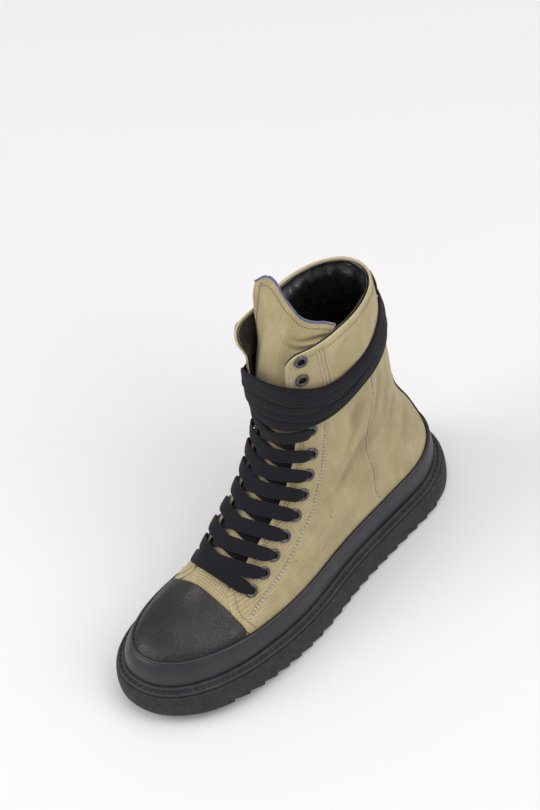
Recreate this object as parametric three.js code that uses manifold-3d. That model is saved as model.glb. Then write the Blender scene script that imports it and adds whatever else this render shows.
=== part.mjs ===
// High-top lace-up sneaker boot, left shoe: canvas upper, leather toe cap and
// foxing, welt and a notched rubber outsole, with flat laces wound round the ankle.
// Millimetres. +X points to the toe, +Y to the wearer's left, which is the outer
// side, and +Z up. The sole stands on Z = 0, with the origin under its middle.
import * as THREE from 'three';
import { mergeVertices } from 'three/addons/utils/BufferGeometryUtils.js';
import Module from 'manifold-3d';

// Last and shaft
const lastLength = 280;
const ballWidth = 86.5;
const heelWidth = 71;
const ankleWidth = 67;
const collarWidth = 58;
const shaftHeight = 204;
const toeSpring = 8.8;
const toeTurn = 13;
const shaftLean = 4.2;
const waistTuck = 6.4;

// Walls and the clearance between pieces
const clearance = 0.3;
const looseClearance = 0.5;
const wall = 2.2;
const quarterStep = 0.8;
const cuffStep = 0.5;
const cuffHeight = 26;
const flapFlare = 7;
const flapCorner = 9;

// Sole
const outsoleHeight = 20.3;
const outsoleMargin = 10.2;
const sidewallBulge = 0.9;
const platformMargin = 0.7;
const weltHeight = 5.5;
const weltMargin = 7.7;
const notchCount = 20;
const notchPitch = 11;
const notchDepth = 3;
const notchReach = 13;
const archRise = 2;
const heelBevel = 2.5;
const toeBevel = 3;
const insoleThickness = 4;

// Overlays
const foxingThickness = 1.9;
const foxingRim = 0.8;
const capThickness = 1.1;
const capLength = 64;

// Throat and tongue
const throatWidth = 34;
const throatLength = 194;
const tongueThickness = 2.2;
const tongueWidth = 60;
const tongueTopWidth = 45.6;
const tongueLean = 50;
const tongueRise = 34;
const tongueShift = 2.5;

// Eyelets and laces
const eyeletSpread = 51;
const eyeletSpreadTop = 46.5;
const eyeletDiameter = 9.6;
const eyeletHole = 5;
const eyeletHeight = 0.9;
const laceWidth = 9.6;
const laceThickness = 1.4;
const lacedRows = 9;
const lapCount = 5;
const lapGroove = 0.9;

// Shares of the levels of the upper: 0 is the feather line and 1 the collar
const foxingLevel = 1 / 9;
const throatLevel = 0.34;

// One row for each ring of the last, feather line to collar. x is a share of the
// last's length from its middle, z a share of the shaft's height above the feather
// line. outer, inner and heel are shares of half a named width: 0 stands for the
// ball and heel, 1 for the ankle, 2 for the collar. nose and rear are the lengths of
// the rounded ends, as shares of the last's length, and square is the nose's fullness.
const rings = [
  { frontX: 0.4955, frontZ: 0, backX: -0.504, backZ: 0, width: 0, outer: 1, inner: 0.8, heel: 1,
    noseOuter: 0.24, noseInner: 0.225, rear: 0.164, square: 2.2 },
  { frontX: 0.466, frontZ: 0.081, backX: -0.497, backZ: 0.115, width: 0, outer: 0.92, inner: 0.79, heel: 0.99,
    noseOuter: 0.25, noseInner: 0.36, rear: 0.164, square: 2.2 },
  { frontX: 0.391, frontZ: 0.136, backX: -0.49, backZ: 0.173, width: 0, outer: 0.85, inner: 0.775, heel: 0.96,
    noseOuter: 0.3, noseInner: 0.36, rear: 0.164, square: 2.1 },
  { frontX: 0.286, frontZ: 0.2, backX: -0.475, backZ: 0.242, width: 0, outer: 0.83, inner: 0.765, heel: 0.93,
    noseOuter: 0.34, noseInner: 0.346, rear: 0.164, square: 2 },
  { frontX: 0.2, frontZ: 0.295, backX: -0.4575, backZ: 0.311, width: 0, outer: 0.785, inner: 0.755, heel: 0.91,
    noseOuter: 0.34, noseInner: 0.34, rear: 0.164, square: 2 },
  { frontX: 0.103, frontZ: 0.373, backX: -0.431, backZ: 0.394, width: 0, outer: 0.765, inner: 0.765, heel: 0.93,
    noseOuter: 0.286, noseInner: 0.286, rear: 0.164, square: 2 },
  { frontX: 0.011, frontZ: 0.481, backX: -0.423, backZ: 0.477, width: 1, outer: 1, inner: 1, heel: 1,
    noseOuter: 0.221, noseInner: 0.221, rear: 0.164, square: 2.1 },
  { frontX: -0.041, frontZ: 0.604, backX: -0.424, backZ: 0.595, width: 1, outer: 1, inner: 1, heel: 1,
    noseOuter: 0.196, noseInner: 0.196, rear: 0.171, square: 2.25 },
  { frontX: -0.048, frontZ: 0.81, backX: -0.426, backZ: 0.794, width: 1.5, outer: 1, inner: 1, heel: 1,
    noseOuter: 0.186, noseInner: 0.186, rear: 0.179, square: 2.4 },
  { frontX: -0.055, frontZ: 1.005, backX: -0.421, backZ: 0.972, width: 2, outer: 1, inner: 1, heel: 1,
    noseOuter: 0.179, noseInner: 0.179, rear: 0.179, square: 2.4 },
];

// Heights of the eyelets, as shares of the throat from the lowest to the highest
const eyeletShares = [0, 0.073, 0.145, 0.223, 0.307, 0.385, 0.463, 0.549, 0.652, 0.79, 0.915, 1];

const footbedHeight = outsoleHeight + weltHeight;
const featherHeight = footbedHeight + clearance;
const { clamp, lerp } = THREE.MathUtils;

function smooth(t) {
  const c = clamp(t, 0, 1);
  return c * c * (3 - 2 * c);
}

// Share of the full width at a distance a (0 to 1) into a rounded end
function roundEnd(a, power) {
  const c = clamp(a, 0, 1);
  return Math.max(1 - (1 - c) ** power, 0) ** (1 / power);
}

function widthOf(kind, low) {
  const widths = [low, ankleWidth, collarWidth];
  const i = Math.min(Math.floor(kind), 1);
  return lerp(widths[i], widths[i + 1], kind - i) / 2;
}

// The rings in millimetres
const sections = rings.map((r) => ({
  frontX: r.frontX * lastLength,
  frontZ: r.frontZ * shaftHeight + featherHeight,
  backX: r.backX * lastLength,
  backZ: r.backZ * shaftHeight + featherHeight,
  outer: r.outer * widthOf(r.width, ballWidth),
  inner: r.inner * widthOf(r.width, ballWidth),
  heel: r.heel * widthOf(r.width, heelWidth),
  noseOuter: r.noseOuter * lastLength,
  noseInner: r.noseInner * lastLength,
  rear: r.rear * lastLength,
  square: r.square,
}));

// The ring at a level, smoothly between its neighbours
function sectionAt(level) {
  const last = sections.length - 1;
  const s = clamp(level, 0, 1) * last;
  const i = Math.min(Math.floor(s), last - 1);
  const t = s - i;
  const result = {};
  for (const key of Object.keys(sections[0])) {
    const b = sections[i][key];
    const c = sections[i + 1][key];
    const a = i > 0 ? sections[i - 1][key] : 2 * b - c;
    const d = i < last - 1 ? sections[i + 2][key] : 2 * c - b;
    const cubic = 3 * b - a - 3 * c + d;
    const square = 2 * a - 5 * b + 4 * c - d;
    result[key] = (2 * b + (c - a) * t + square * t * t + cubic * t ** 3) / 2;
  }
  return result;
}

// The toe spring at a place along the shoe
function spring(x) {
  return toeSpring * smooth((x / lastLength - 0.071) / 0.446);
}

// The last's surface. turn is the angle round a ring: 0 at the front, positive on
// the outer side, pi at the heel. level runs from the feather line to the collar.
function last(turn, level) {
  const { x, z, centre, half } = lastPlace(turn, level);
  return new THREE.Vector3(x, centre + Math.sign(Math.sin(turn)) * half, z);
}

// half is the distance from the shoe's curved middle line, which runs at centre
function lastPlace(turn, level) {
  const s = sectionAt(level);
  const f = (1 - Math.cos(turn)) / 2;
  const side = Math.sign(Math.sin(turn));
  const reach = Math.hypot(s.frontX - s.backX, s.frontZ - s.backZ);
  const toHeel = smooth((f - 0.25) / 0.6);
  const tuck = waistTuck * Math.exp(-((level / 0.28) ** 2)) * (side < 0 ? 1 : 0.5);
  let half = lerp(side < 0 ? s.inner : s.outer, s.heel, toHeel);
  half -= tuck * Math.exp(-(((f - 0.57) / 0.16) ** 2));
  half *= roundEnd((f * reach) / (side < 0 ? s.noseInner : s.noseOuter), s.square);
  half *= roundEnd(((1 - f) * reach) / s.rear, 2.1);
  const x = lerp(s.frontX, s.backX, f);
  const springShare = 1 - smooth((level - foxingLevel) / 0.25);
  const centre = -toeTurn * smooth((x / lastLength) * 1.867) - shaftLean * smooth((level - 0.35) / 0.65);
  return { x, z: lerp(s.frontZ, s.backZ, f) + springShare * spring(x), centre, half };
}

// Outward direction of the surface, turned level at the feather line so that the
// pieces that stand on the footbed end there
function lastNormal(turn, level) {
  const step = 0.004;
  const along = last(turn + step, level).sub(last(turn - step, level));
  const up = last(turn, Math.min(level + step, 1)).sub(last(turn, Math.max(level - step, 0)));
  const normal = along.cross(up);
  normal.z *= smooth((2 * level) / foxingLevel);
  return normal.normalize();
}

// A point above (or, with a negative height, under) the last's surface
function skin(turn, level, height) {
  return last(turn, level).addScaledVector(lastNormal(turn, level), height);
}

// The turn at which a ring is a given distance from the middle line, 0 to about 1.5
function turnAtWidth(level, distance) {
  let low = 0;
  let high = Math.PI / 2;
  for (let i = 0; i < 30; i += 1) {
    const turn = (low + high) / 2;
    if (lastPlace(turn, level).half < distance) low = turn;
    else high = turn;
  }
  return low;
}

// The level at which the surface reaches back to x, for one turn
function levelAtX(turn, x) {
  let low = foxingLevel;
  let high = 0.6;
  for (let i = 0; i < 30; i += 1) {
    const level = (low + high) / 2;
    if (last(turn, level).x > x) low = level;
    else high = level;
  }
  return low;
}

// How much the level changes over a length along the shaft
function levelStep(turn, level, length) {
  const step = 0.01;
  return (length * step) / last(turn, level + step).distanceTo(last(turn, level));
}

// A closed body from an outer and an inner sheet with the same four-sided faces.
// Open edges of the sheet get a rim.
function wallBody(outer, inner, faces) {
  const count = outer.length;
  const index = [];
  const edges = new Map();
  for (const [a, b, c, d] of faces) {
    index.push(a, b, c, a, c, d);
    index.push(count + a, count + c, count + b, count + a, count + d, count + c);
    for (const [p, q] of [[a, b], [b, c], [c, d], [d, a]]) edges.set(`${p}_${q}`, [p, q]);
  }
  for (const [p, q] of edges.values()) {
    if (!edges.has(`${q}_${p}`)) index.push(q, p, count + p, q, count + p, count + q);
  }
  return bodyFrom([...outer, ...inner], index);
}

function bodyFrom(points, index) {
  const geometry = new THREE.BufferGeometry();
  geometry.setAttribute('position', new THREE.Float32BufferAttribute(points.flatMap((p) => p.toArray()), 3));
  geometry.setIndex(index);
  return geometry;
}

// Faces of a sheet of rows and columns, with columns that run round where closed
function sheetFaces(rows, columns, closed) {
  const faces = [];
  for (let i = 0; i < rows - 1; i += 1) {
    for (let j = 0; j < (closed ? columns : columns - 1); j += 1) {
      const k = (j + 1) % columns;
      faces.push([i * columns + j, i * columns + k, (i + 1) * columns + k, (i + 1) * columns + j]);
    }
  }
  return faces;
}

// A closed ring swept round the shoe: profiles[j] is the closed outline at column j
function ringBody(profiles) {
  const columns = profiles.length;
  const size = profiles[0].length;
  const index = [];
  for (let j = 0; j < columns; j += 1) {
    const k = (j + 1) % columns;
    for (let i = 0; i < size; i += 1) {
      const n = (i + 1) % size;
      index.push(j * size + i, j * size + n, k * size + n, j * size + i, k * size + n, k * size + i);
    }
  }
  return bodyFrom(profiles.flat(), index);
}

// Booleans
const wasm = await Module();
wasm.setup();

function toSolid(geometry) {
  const bare = geometry.clone();
  bare.deleteAttribute('normal');
  bare.deleteAttribute('uv');
  const merged = mergeVertices(bare);
  return new wasm.Manifold(new wasm.Mesh({
    numProp: 3,
    vertProperties: Float32Array.from(merged.attributes.position.array),
    triVerts: Uint32Array.from(merged.index.array),
  }));
}

// Joins crossing layers into one body and fills the small pockets sealed between them
function joined(geometries) {
  const union = geometries.map(toSolid).reduce((sum, next) => sum.add(next));
  const solid = wasm.Manifold.compose(union.decompose().filter((shell) => shell.volume() > 0));
  const mesh = solid.getMesh();
  const geometry = new THREE.BufferGeometry();
  geometry.setAttribute('position', new THREE.BufferAttribute(mesh.vertProperties, 3));
  geometry.setIndex(new THREE.BufferAttribute(mesh.triVerts, 1));
  return geometry;
}

// Plan of the sole

// A point of the feather line's plan, moved outwards by a margin
function outline(turn, margin, z) {
  const here = last(turn, 0);
  const ahead = last(turn + 0.004, 0).sub(last(turn - 0.004, 0));
  const sideways = new THREE.Vector3(ahead.y, -ahead.x, 0).normalize();
  here.addScaledVector(sideways, margin);
  here.z = z;
  return here;
}

// The turn of the feather line at a place along the shoe, on the outer side
function turnAtX(x) {
  const ring = sections[0];
  return Math.acos(clamp(1 - (2 * (ring.frontX - x)) / (ring.frontX - ring.backX), -1, 1));
}

// Columns round the sole: smooth ends, and a tip and a root for each side notch
function soleColumns() {
  const first = (notchCount * notchPitch) / 2 - lastLength * 0.032;
  const half = [];
  const toeSteps = 8;
  const heelSteps = 7;
  const toeTurnAngle = turnAtX(first);
  for (let i = 0; i < toeSteps; i += 1) half.push({ turn: (toeTurnAngle * i) / toeSteps, notch: 0 });
  for (let i = 0; i < notchCount; i += 1) {
    const x = first - i * notchPitch;
    half.push({ turn: turnAtX(x), notch: 0 });
    half.push({ turn: turnAtX(x - 0.6), notch: 1 });
  }
  const heelAngle = turnAtX(first - notchCount * notchPitch);
  for (let i = 0; i <= heelSteps; i += 1) {
    half.push({ turn: lerp(heelAngle, Math.PI, i / heelSteps), notch: 0 });
  }
  const inner = half.slice(1, -1).reverse().map((c) => ({ turn: -c.turn, notch: c.notch }));
  return [...half, ...inner];
}

// Outsole: raised footbed, ledge for the welt, bulging sidewall, notched bottom edge
function outsoleGeometry() {
  const columns = soleColumns();
  const outer = outsoleMargin;
  const points = [];
  const size = 7;
  for (const { turn, notch } of columns) {
    const x = last(turn, 0).x;
    const lift = spring(x);
    const arch = archRise * Math.exp(-(((x / lastLength + 0.11) / 0.09) ** 4));
    const back = heelBevel * smooth((-x / lastLength - 0.43) / 0.08);
    const toe = toeBevel * smooth((x / lastLength - 0.4) / 0.08);
    const edge = lift + notch * notchDepth + back + toe * 0.6;
    points.push(outline(turn, platformMargin, footbedHeight + lift));
    points.push(outline(turn, platformMargin, outsoleHeight + lift));
    points.push(outline(turn, outer - 1.6, outsoleHeight + lift));
    points.push(outline(turn, outer + sidewallBulge, outsoleHeight * 0.5 + lift));
    points.push(outline(turn, outer - 0.3, edge));
    points.push(outline(turn, outer - notchReach, edge));
    points.push(outline(turn, outer - notchReach - 0.6, lift + arch));
  }
  const index = [];
  const count = columns.length;
  for (let j = 0; j < count; j += 1) {
    const k = (j + 1) % count;
    for (let i = 0; i < size - 1; i += 1) {
      const a = j * size + i;
      const b = k * size + i;
      index.push(a, a + 1, b + 1, a, b + 1, b);
    }
  }
  // Footbed on top and tread underneath are strips across the shoe
  const half = count / 2;
  for (let j = 0; j < half; j += 1) {
    const a = j * size;
    const b = (j + 1) * size;
    const c = ((count - j - 1) % count) * size;
    const d = ((count - j) % count) * size;
    const under = size - 1;
    if (a !== d) {
      index.push(a, b, d);
      index.push(a + under, d + under, b + under);
    }
    if (b !== c) {
      index.push(b, c, d);
      index.push(b + under, d + under, c + under);
    }
  }
  return bodyFrom(points, index);
}

const roundSteps = 44;
const roundTurns = Array.from({ length: roundSteps }, (_, i) => (i / roundSteps) * 2 * Math.PI);

// Welt: an upper ridge, a recessed stitch ledge and a lower ridge. margin is a share
// of the welt's width and drop a share of its height.
const weltProfile = [
  { margin: 0, drop: 1 },
  { margin: 0, drop: 0 },
  { margin: 0.38, drop: -0.04 },
  { margin: 0.5, drop: 0.12 },
  { margin: 0.62, drop: 0.42 },
  { margin: 0.92, drop: 0.55 },
  { margin: 1, drop: 0.72 },
  { margin: 0.94, drop: 1 },
];

function weltGeometry() {
  const start = platformMargin + looseClearance;
  const height = weltHeight - looseClearance;
  return ringBody(roundTurns.map((turn) => {
    const top = footbedHeight + spring(last(turn, 0).x);
    return weltProfile.map((p) => outline(turn, lerp(start, weltMargin, p.margin), top - p.drop * height));
  }));
}

// Foxing: a rounded band over the upper's lower edge, with a thin raised rim. level
// is a share of the foxing's height, swell a share of its thickness, rim of its rim.
const foxingProfile = [
  { level: 1, swell: 0, rim: 0 },
  { level: 0, swell: 0, rim: 0 },
  { level: 0, swell: 0.5, rim: 0 },
  { level: 0.3, swell: 1.2, rim: 0 },
  { level: 0.65, swell: 1.3, rim: 0 },
  { level: 0.9, swell: 0.9, rim: 0 },
  { level: 0.93, swell: 0.9, rim: 1 },
  { level: 1, swell: 0.7, rim: 1 },
];

function foxingGeometry() {
  const base = quarterStep + looseClearance + 0.25;
  return ringBody(roundTurns.map((turn) => foxingProfile.slice().reverse().map((p) => {
    const height = base + foxingThickness * p.swell + foxingRim * p.rim;
    return skin(turn, foxingLevel * p.level, height);
  })));
}

// Throat edge and the quarters' front edges

// Turn of the quarter's front edge at a level: down the vamp, then up the throat
function quarterEdge(level) {
  if (level >= throatLevel) return turnAtWidth(level, throatWidth / 2);
  const corner = turnAtWidth(throatLevel, throatWidth / 2);
  return lerp(corner, 1.06, Math.sqrt((throatLevel - level) / throatLevel));
}

// How far the inner side's flap stands away from the tongue, above the laps
function flare(turn, level) {
  const fromEdge = -Math.atan2(Math.sin(turn), Math.cos(turn)) - quarterEdge(level);
  if (fromEdge < -0.1) return 0;
  return flapFlare * smooth(1 - fromEdge / 0.8) * smooth((level - 0.935) / 0.065);
}

// Shares of the throat's height for the rows of the upper above its base
const lowerRows = [0, 0.06, foxingLevel, 0.16, 0.21, 0.255, 0.3, throatLevel];
const upperRows = [0.38, 0.43, 0.48, 0.53, 0.58, 0.63, 0.68, 0.73, 0.78, 0.83];
const vampColumns = 10;
const quarterColumns = 34;

// Upper: vamp, quarters a step above it, a collar cuff and two throat flaps
function upperGeometry() {
  const cuff = 1 - levelStep(Math.PI / 2, 0.9, cuffHeight);
  const levels = [...lowerRows, ...upperRows.filter((v) => v < cuff - 0.02)];
  levels.push(cuff, cuff + 0.006, lerp(cuff, 1, 0.5), 1);
  const base = lowerRows.length - 1;
  const columns = vampColumns + 1 + quarterColumns + 1;
  const outer = [];
  const inner = [];
  levels.forEach((level, i) => {
    const edge = quarterEdge(level);
    const lip = 0.5 / 40;
    for (let j = 0; j < columns; j += 1) {
      const vamp = j <= vampColumns;
      const across = vamp ? (2 * j) / vampColumns - 1 : 0;
      const share = (j - vampColumns - 1) / quarterColumns;
      const turn = vamp ? across * edge : lerp(edge + lip, 2 * Math.PI - edge - lip, share);
      // The vamp's rows bow up in the middle, so that the throat's base runs across
      let at = level;
      if (vamp) at += 0.075 * (level / throatLevel) ** 2 * (1 - across ** 2);
      // Rounded top corner of each flap
      const fromEdge = Math.min(share, 1 - share) * 2 * Math.PI;
      const corner = levelStep(0.6, 0.95, flapCorner);
      if (!vamp && level > cuff) {
        const near = 1 - smooth(fromEdge / 0.5);
        at -= corner * near * ((level - cuff) / (1 - cuff));
      }
      const away = vamp ? 0 : flare(turn, at);
      const inCuff = i > levels.length - 4 && fromEdge > 0.75;
      const height = (vamp ? 0 : quarterStep) + (inCuff ? cuffStep : 0);
      outer.push(skin(turn, at, height + away));
      inner.push(skin(turn, at, away - wall));
    }
  });
  const faces = sheetFaces(levels.length, columns, true).filter((_, n) => {
    const row = Math.floor(n / columns);
    const column = n % columns;
    const overVamp = column <= vampColumns || column === columns - 1;
    return row < base || !overVamp;
  });
  return wallBody(outer, inner, faces);
}

// Toe cap: over the front of the vamp, its rear edge straight across the foot
function capGeometry() {
  const rear = lastLength * rings[0].frontX - capLength;
  const base = looseClearance + 0.35;
  const side = 14;
  const rows = 7;
  const outer = [];
  const inner = [];
  let widest = 0;
  while (last(widest, foxingLevel).x > rear + 3) widest += 0.01;
  for (let i = 0; i <= rows; i += 1) {
    for (let j = 0; j <= side; j += 1) {
      const turn = lerp(-widest, widest, j / side);
      const low = foxingLevel + 0.006;
      const level = lerp(low, Math.max(levelAtX(turn, rear), low + 0.004), i / rows);
      outer.push(skin(turn, level, base + capThickness));
      inner.push(skin(turn, level, base));
    }
  }
  return wallBody(outer, inner, sheetFaces(rows + 1, side + 1, false));
}

// Insole: a pad inside the upper's lower edge, its side following the wall
function insoleGeometry() {
  const depth = wall + 3 * looseClearance;
  const points = [];
  for (const turn of roundTurns) {
    const floor = last(turn, 0).z;
    const bandHeight = last(turn, foxingLevel).z - floor;
    const top = skin(turn, (foxingLevel * 1.7 * insoleThickness) / bandHeight, -depth);
    top.z = floor + insoleThickness;
    points.push(outline(turn, -depth, floor), top);
  }
  const index = [];
  for (let j = 0; j < roundSteps; j += 1) {
    const k = (j + 1) % roundSteps;
    index.push(2 * j, 2 * k, 2 * k + 1, 2 * j, 2 * k + 1, 2 * j + 1);
  }
  for (let j = 0; j < roundSteps / 2; j += 1) {
    const a = 2 * j;
    const b = 2 * (j + 1);
    const c = 2 * ((roundSteps - j - 1) % roundSteps);
    const d = 2 * ((roundSteps - j) % roundSteps);
    if (a !== d) index.push(a + 1, b + 1, d + 1, a, d, b);
    if (b !== c) index.push(b + 1, c + 1, d + 1, b, d, c);
  }
  return bodyFrom(points, index);
}

// Tongue: under the throat, then standing free above the laps and leaning back
const tongueRows = 8;
const tongueFollowRows = 10;
const tongueFreeLevel = 0.86;
const tongueStartLevel = throatLevel - 0.035;

// The free top edge, one row a column from the inner to the outer side: how far it
// rises above the throat and leans back, as shares of the tongue's rise and lean
const tongueEdge = [
  [0.9, 0.56], [1, 0.64], [0.99, 0.675], [0.84, 0.68], [0.56, 0.68], [0.36, 0.69],
  [0.14, 0.72], [0.04, 0.77], [0.015, 0.83], [0.005, 0.9], [-0.06, 0.97],
];
const tongueColumns = tongueEdge.length - 1;

function tongueTop(column) {
  const base = last(0, 1);
  const [rise, lean] = tongueEdge[column];
  const across = (2 * column) / tongueColumns - 1;
  return new THREE.Vector3(
    base.x - tongueLean * lean,
    base.y + tongueShift + (across * tongueTopWidth) / 2,
    base.z + tongueRise * rise
  );
}

function tongueGeometry() {
  const top = -(wall + 2 * looseClearance);
  const outer = [];
  const inner = [];
  const acrossAt = (j) => (2 * j) / tongueColumns - 1;
  for (let i = 0; i < tongueFollowRows; i += 1) {
    for (let j = 0; j <= tongueColumns; j += 1) {
      const across = acrossAt(j);
      const level = lerp(tongueStartLevel, tongueFreeLevel, i / (tongueFollowRows - 1));
      const edge = turnAtWidth(level, tongueWidth / 2);
      const bow = 0.075 * (1 - across ** 2) * (1 - i / (tongueFollowRows - 1));
      outer.push(skin(across * edge, level + bow, top));
      inner.push(skin(across * edge, level + bow, top - tongueThickness));
    }
  }
  // The free part leaves along the shaft and bends back towards its top edge
  const edge = turnAtWidth(tongueFreeLevel, tongueWidth / 2);
  const leaning = new THREE.Vector3(-0.58, 0, 0.82);
  for (let i = 1; i < tongueRows - 2; i += 1) {
    const t = i / (tongueRows - 3);
    for (let j = 0; j <= tongueColumns; j += 1) {
      const across = acrossAt(j);
      const from = skin(edge * across, tongueFreeLevel, top);
      const to = tongueTop(j);
      const reach = from.distanceTo(to);
      const rise = from.clone().sub(skin(edge * across, tongueFreeLevel - 0.05, top)).setLength(0.7 * reach);
      const lean = leaning.clone().setLength(0.64 * reach);
      const point = hermite(from, rise, to, lean, t);
      const back = new THREE.Vector3(-0.9, -0.64 * across, -0.27 * t).multiplyScalar(tongueThickness);
      outer.push(point);
      inner.push(point.clone().add(back));
    }
  }
  const rows = outer.length / (tongueColumns + 1);
  return wallBody(outer, inner, sheetFaces(rows, tongueColumns + 1, false));
}

function hermite(from, startSlope, to, endSlope, t) {
  const t2 = t * t;
  const t3 = t2 * t;
  return new THREE.Vector3()
    .addScaledVector(from, 2 * t3 - 3 * t2 + 1)
    .addScaledVector(startSlope, t3 - 2 * t2 + t)
    .addScaledVector(to, 3 * t2 - 2 * t3)
    .addScaledVector(endSlope, t3 - t2);
}

// Eyelets
const eyeletBase = quarterStep + looseClearance + 0.15;
const laceBase = eyeletBase + eyeletHeight + looseClearance;
const lapBase = laceBase + looseClearance;

// Levels of the eyelets, spaced by their shares of the throat's length
function eyeletTurn(level, side) {
  const share = clamp((level - throatLevel) / (1 - throatLevel), 0, 1);
  return side * turnAtWidth(level, lerp(eyeletSpread, eyeletSpreadTop, share) / 2);
}

const eyeletLevels = (() => {
  const first = throatLevel - 0.017;
  const steps = 200;
  const lengths = [0];
  for (let i = 1; i <= steps; i += 1) {
    const a = first + ((1 - first) * (i - 1)) / steps;
    const b = first + ((1 - first) * i) / steps;
    lengths.push(lengths[i - 1] + eyeletPoint(a, 1, 0).distanceTo(eyeletPoint(b, 1, 0)));
  }
  return eyeletShares.map((share) => {
    const target = share * throatLength;
    const i = lengths.findIndex((length) => length >= target);
    return first + ((1 - first) * (i < 0 ? steps : i)) / steps;
  });
})();

function eyeletPoint(level, side, height) {
  const turn = eyeletTurn(level, side);
  return skin(turn, level, flare(turn, level)).addScaledVector(shaftNormal(turn, level), height);
}

// Outward direction of the shaft with its flared flap
function shaftNormal(turn, level) {
  const at = (dTurn, dLevel) => skin(turn + dTurn, level + dLevel, flare(turn + dTurn, level + dLevel));
  const along = at(0.02, 0).sub(at(-0.02, 0));
  const up = at(0, 0.008).sub(at(0, -0.008));
  return along.cross(up).normalize();
}

function eyeletMesh(level, side, name, material) {
  const rim = eyeletDiameter / 2;
  const hole = eyeletHole / 2;
  const profile = [[hole, 0], [rim, 0], [rim * 0.88, eyeletHeight], [hole * 1.2, eyeletHeight], [hole, 0]];
  const geometry = new THREE.LatheGeometry(profile.map(([r, z]) => new THREE.Vector2(r, z)), 8);
  const mesh = new THREE.Mesh(geometry, material);
  mesh.name = name;
  const turn = eyeletTurn(level, side);
  mesh.position.copy(eyeletPoint(level, side, eyeletBase));
  mesh.quaternion.setFromUnitVectors(new THREE.Vector3(0, 1, 0), shaftNormal(turn, level));
  return mesh;
}

// A flat lace lying on the shoe: stations give turn and level, height is its underside
function ribbon(stations, height) {
  const count = stations.length;
  const sizes = [];
  for (let i = 0; i < count; i += 1) {
    const here = stations[i];
    const before = stations[Math.max(i - 1, 0)];
    const after = stations[Math.min(i + 1, count - 1)];
    const normal = lastNormal(here.turn, here.level);
    const along = skin(after.turn, after.level, height).sub(skin(before.turn, before.level, height));
    const sideways = along.cross(normal).setLength(laceWidth / 2);
    const centre = skin(here.turn, here.level, height);
    const lift = normal.multiplyScalar(laceThickness);
    sizes.push([
      centre.clone().add(sideways), centre.clone().sub(sideways),
      centre.clone().sub(sideways).add(lift), centre.clone().add(sideways).add(lift),
    ]);
  }
  const index = [];
  for (let i = 0; i < count - 1; i += 1) {
    const n = i + 1;
    for (let k = 0; k < 4; k += 1) {
      const m = (k + 1) % 4;
      index.push(4 * i + k, 4 * i + m, 4 * n + m, 4 * i + k, 4 * n + m, 4 * n + k);
    }
  }
  const e = 4 * (count - 1);
  index.push(0, 3, 2, 0, 2, 1, e, e + 1, e + 2, e, e + 2, e + 3);
  return bodyFrom(sizes.flat(), index);
}

// The plane in which a lace pulled from one place to another lies on the shoe
function pullPlane(from, to) {
  const point = last(from.turn, from.level);
  const chord = last(to.turn, to.level).sub(point);
  const outwards = lastNormal(from.turn, from.level).add(lastNormal(to.turn, to.level));
  const normal = chord.cross(outwards).normalize();
  if (normal.z < 0) normal.negate();
  return { point, normal };
}

// The level at which the surface meets a plane, for one turn
function levelOnPlane(turn, plane, guess) {
  let low = guess - 0.12;
  let high = Math.min(guess + 0.16, 1);
  for (let i = 0; i < 24; i += 1) {
    const level = (low + high) / 2;
    if (last(turn, level).sub(plane.point).dot(plane.normal) < 0) low = level;
    else high = level;
  }
  return (low + high) / 2;
}

// A crossing pulled straight from one place on the throat to another
function crossing(from, to, height) {
  const steps = 6;
  const plane = pullPlane(from, to);
  const stations = [];
  for (let i = 0; i <= steps; i += 1) {
    const turn = lerp(from.turn, to.turn, i / steps);
    const level = levelOnPlane(turn, plane, lerp(from.level, to.level, i / steps));
    stations.push({ turn, level });
  }
  return ribbon(stations, height);
}

function lacesGeometry() {
  const low = laceBase + laceThickness * 0.3;
  const high = laceBase + laceThickness * 0.7;
  const atEyelet = (i, side) => ({ turn: eyeletTurn(eyeletLevels[i], side), level: eyeletLevels[i] });
  // Each lace comes out from under the throat's edge just above the row below
  const atEdge = (i, side) => {
    const row = eyeletLevels[i - 1];
    const turn = side * turnAtWidth(row, throatWidth / 2);
    const straight = levelOnPlane(turn, pullPlane(atEyelet(i - 1, -1), atEyelet(i - 1, 1)), row);
    return { turn, level: straight + levelStep(turn, straight, laceWidth * 0.4) };
  };
  const parts = [crossing(atEyelet(0, -1), atEyelet(0, 1), laceBase)];
  for (let i = 1; i < lacedRows; i += 1) {
    parts.push(crossing(atEdge(i, -1), atEyelet(i, 1), high));
    parts.push(crossing(atEdge(i, 1), atEyelet(i, -1), low));
  }
  return joined(parts);
}

// Laps round the ankle, as levels of the lowest and the highest one
const lapLevels = {
  front: [0.832, 0.93],
  side: [0.846, 0.878],
  back: [0.862, 0.937],
};

// The laps lie edge to edge, so they are one band with a groove between neighbours. They pass over the laces
// in front, rest on the canvas behind, and the upper ones dip on the inner side
const lapRest = quarterStep + 1.3;
const lapDip = 0.035;

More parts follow.
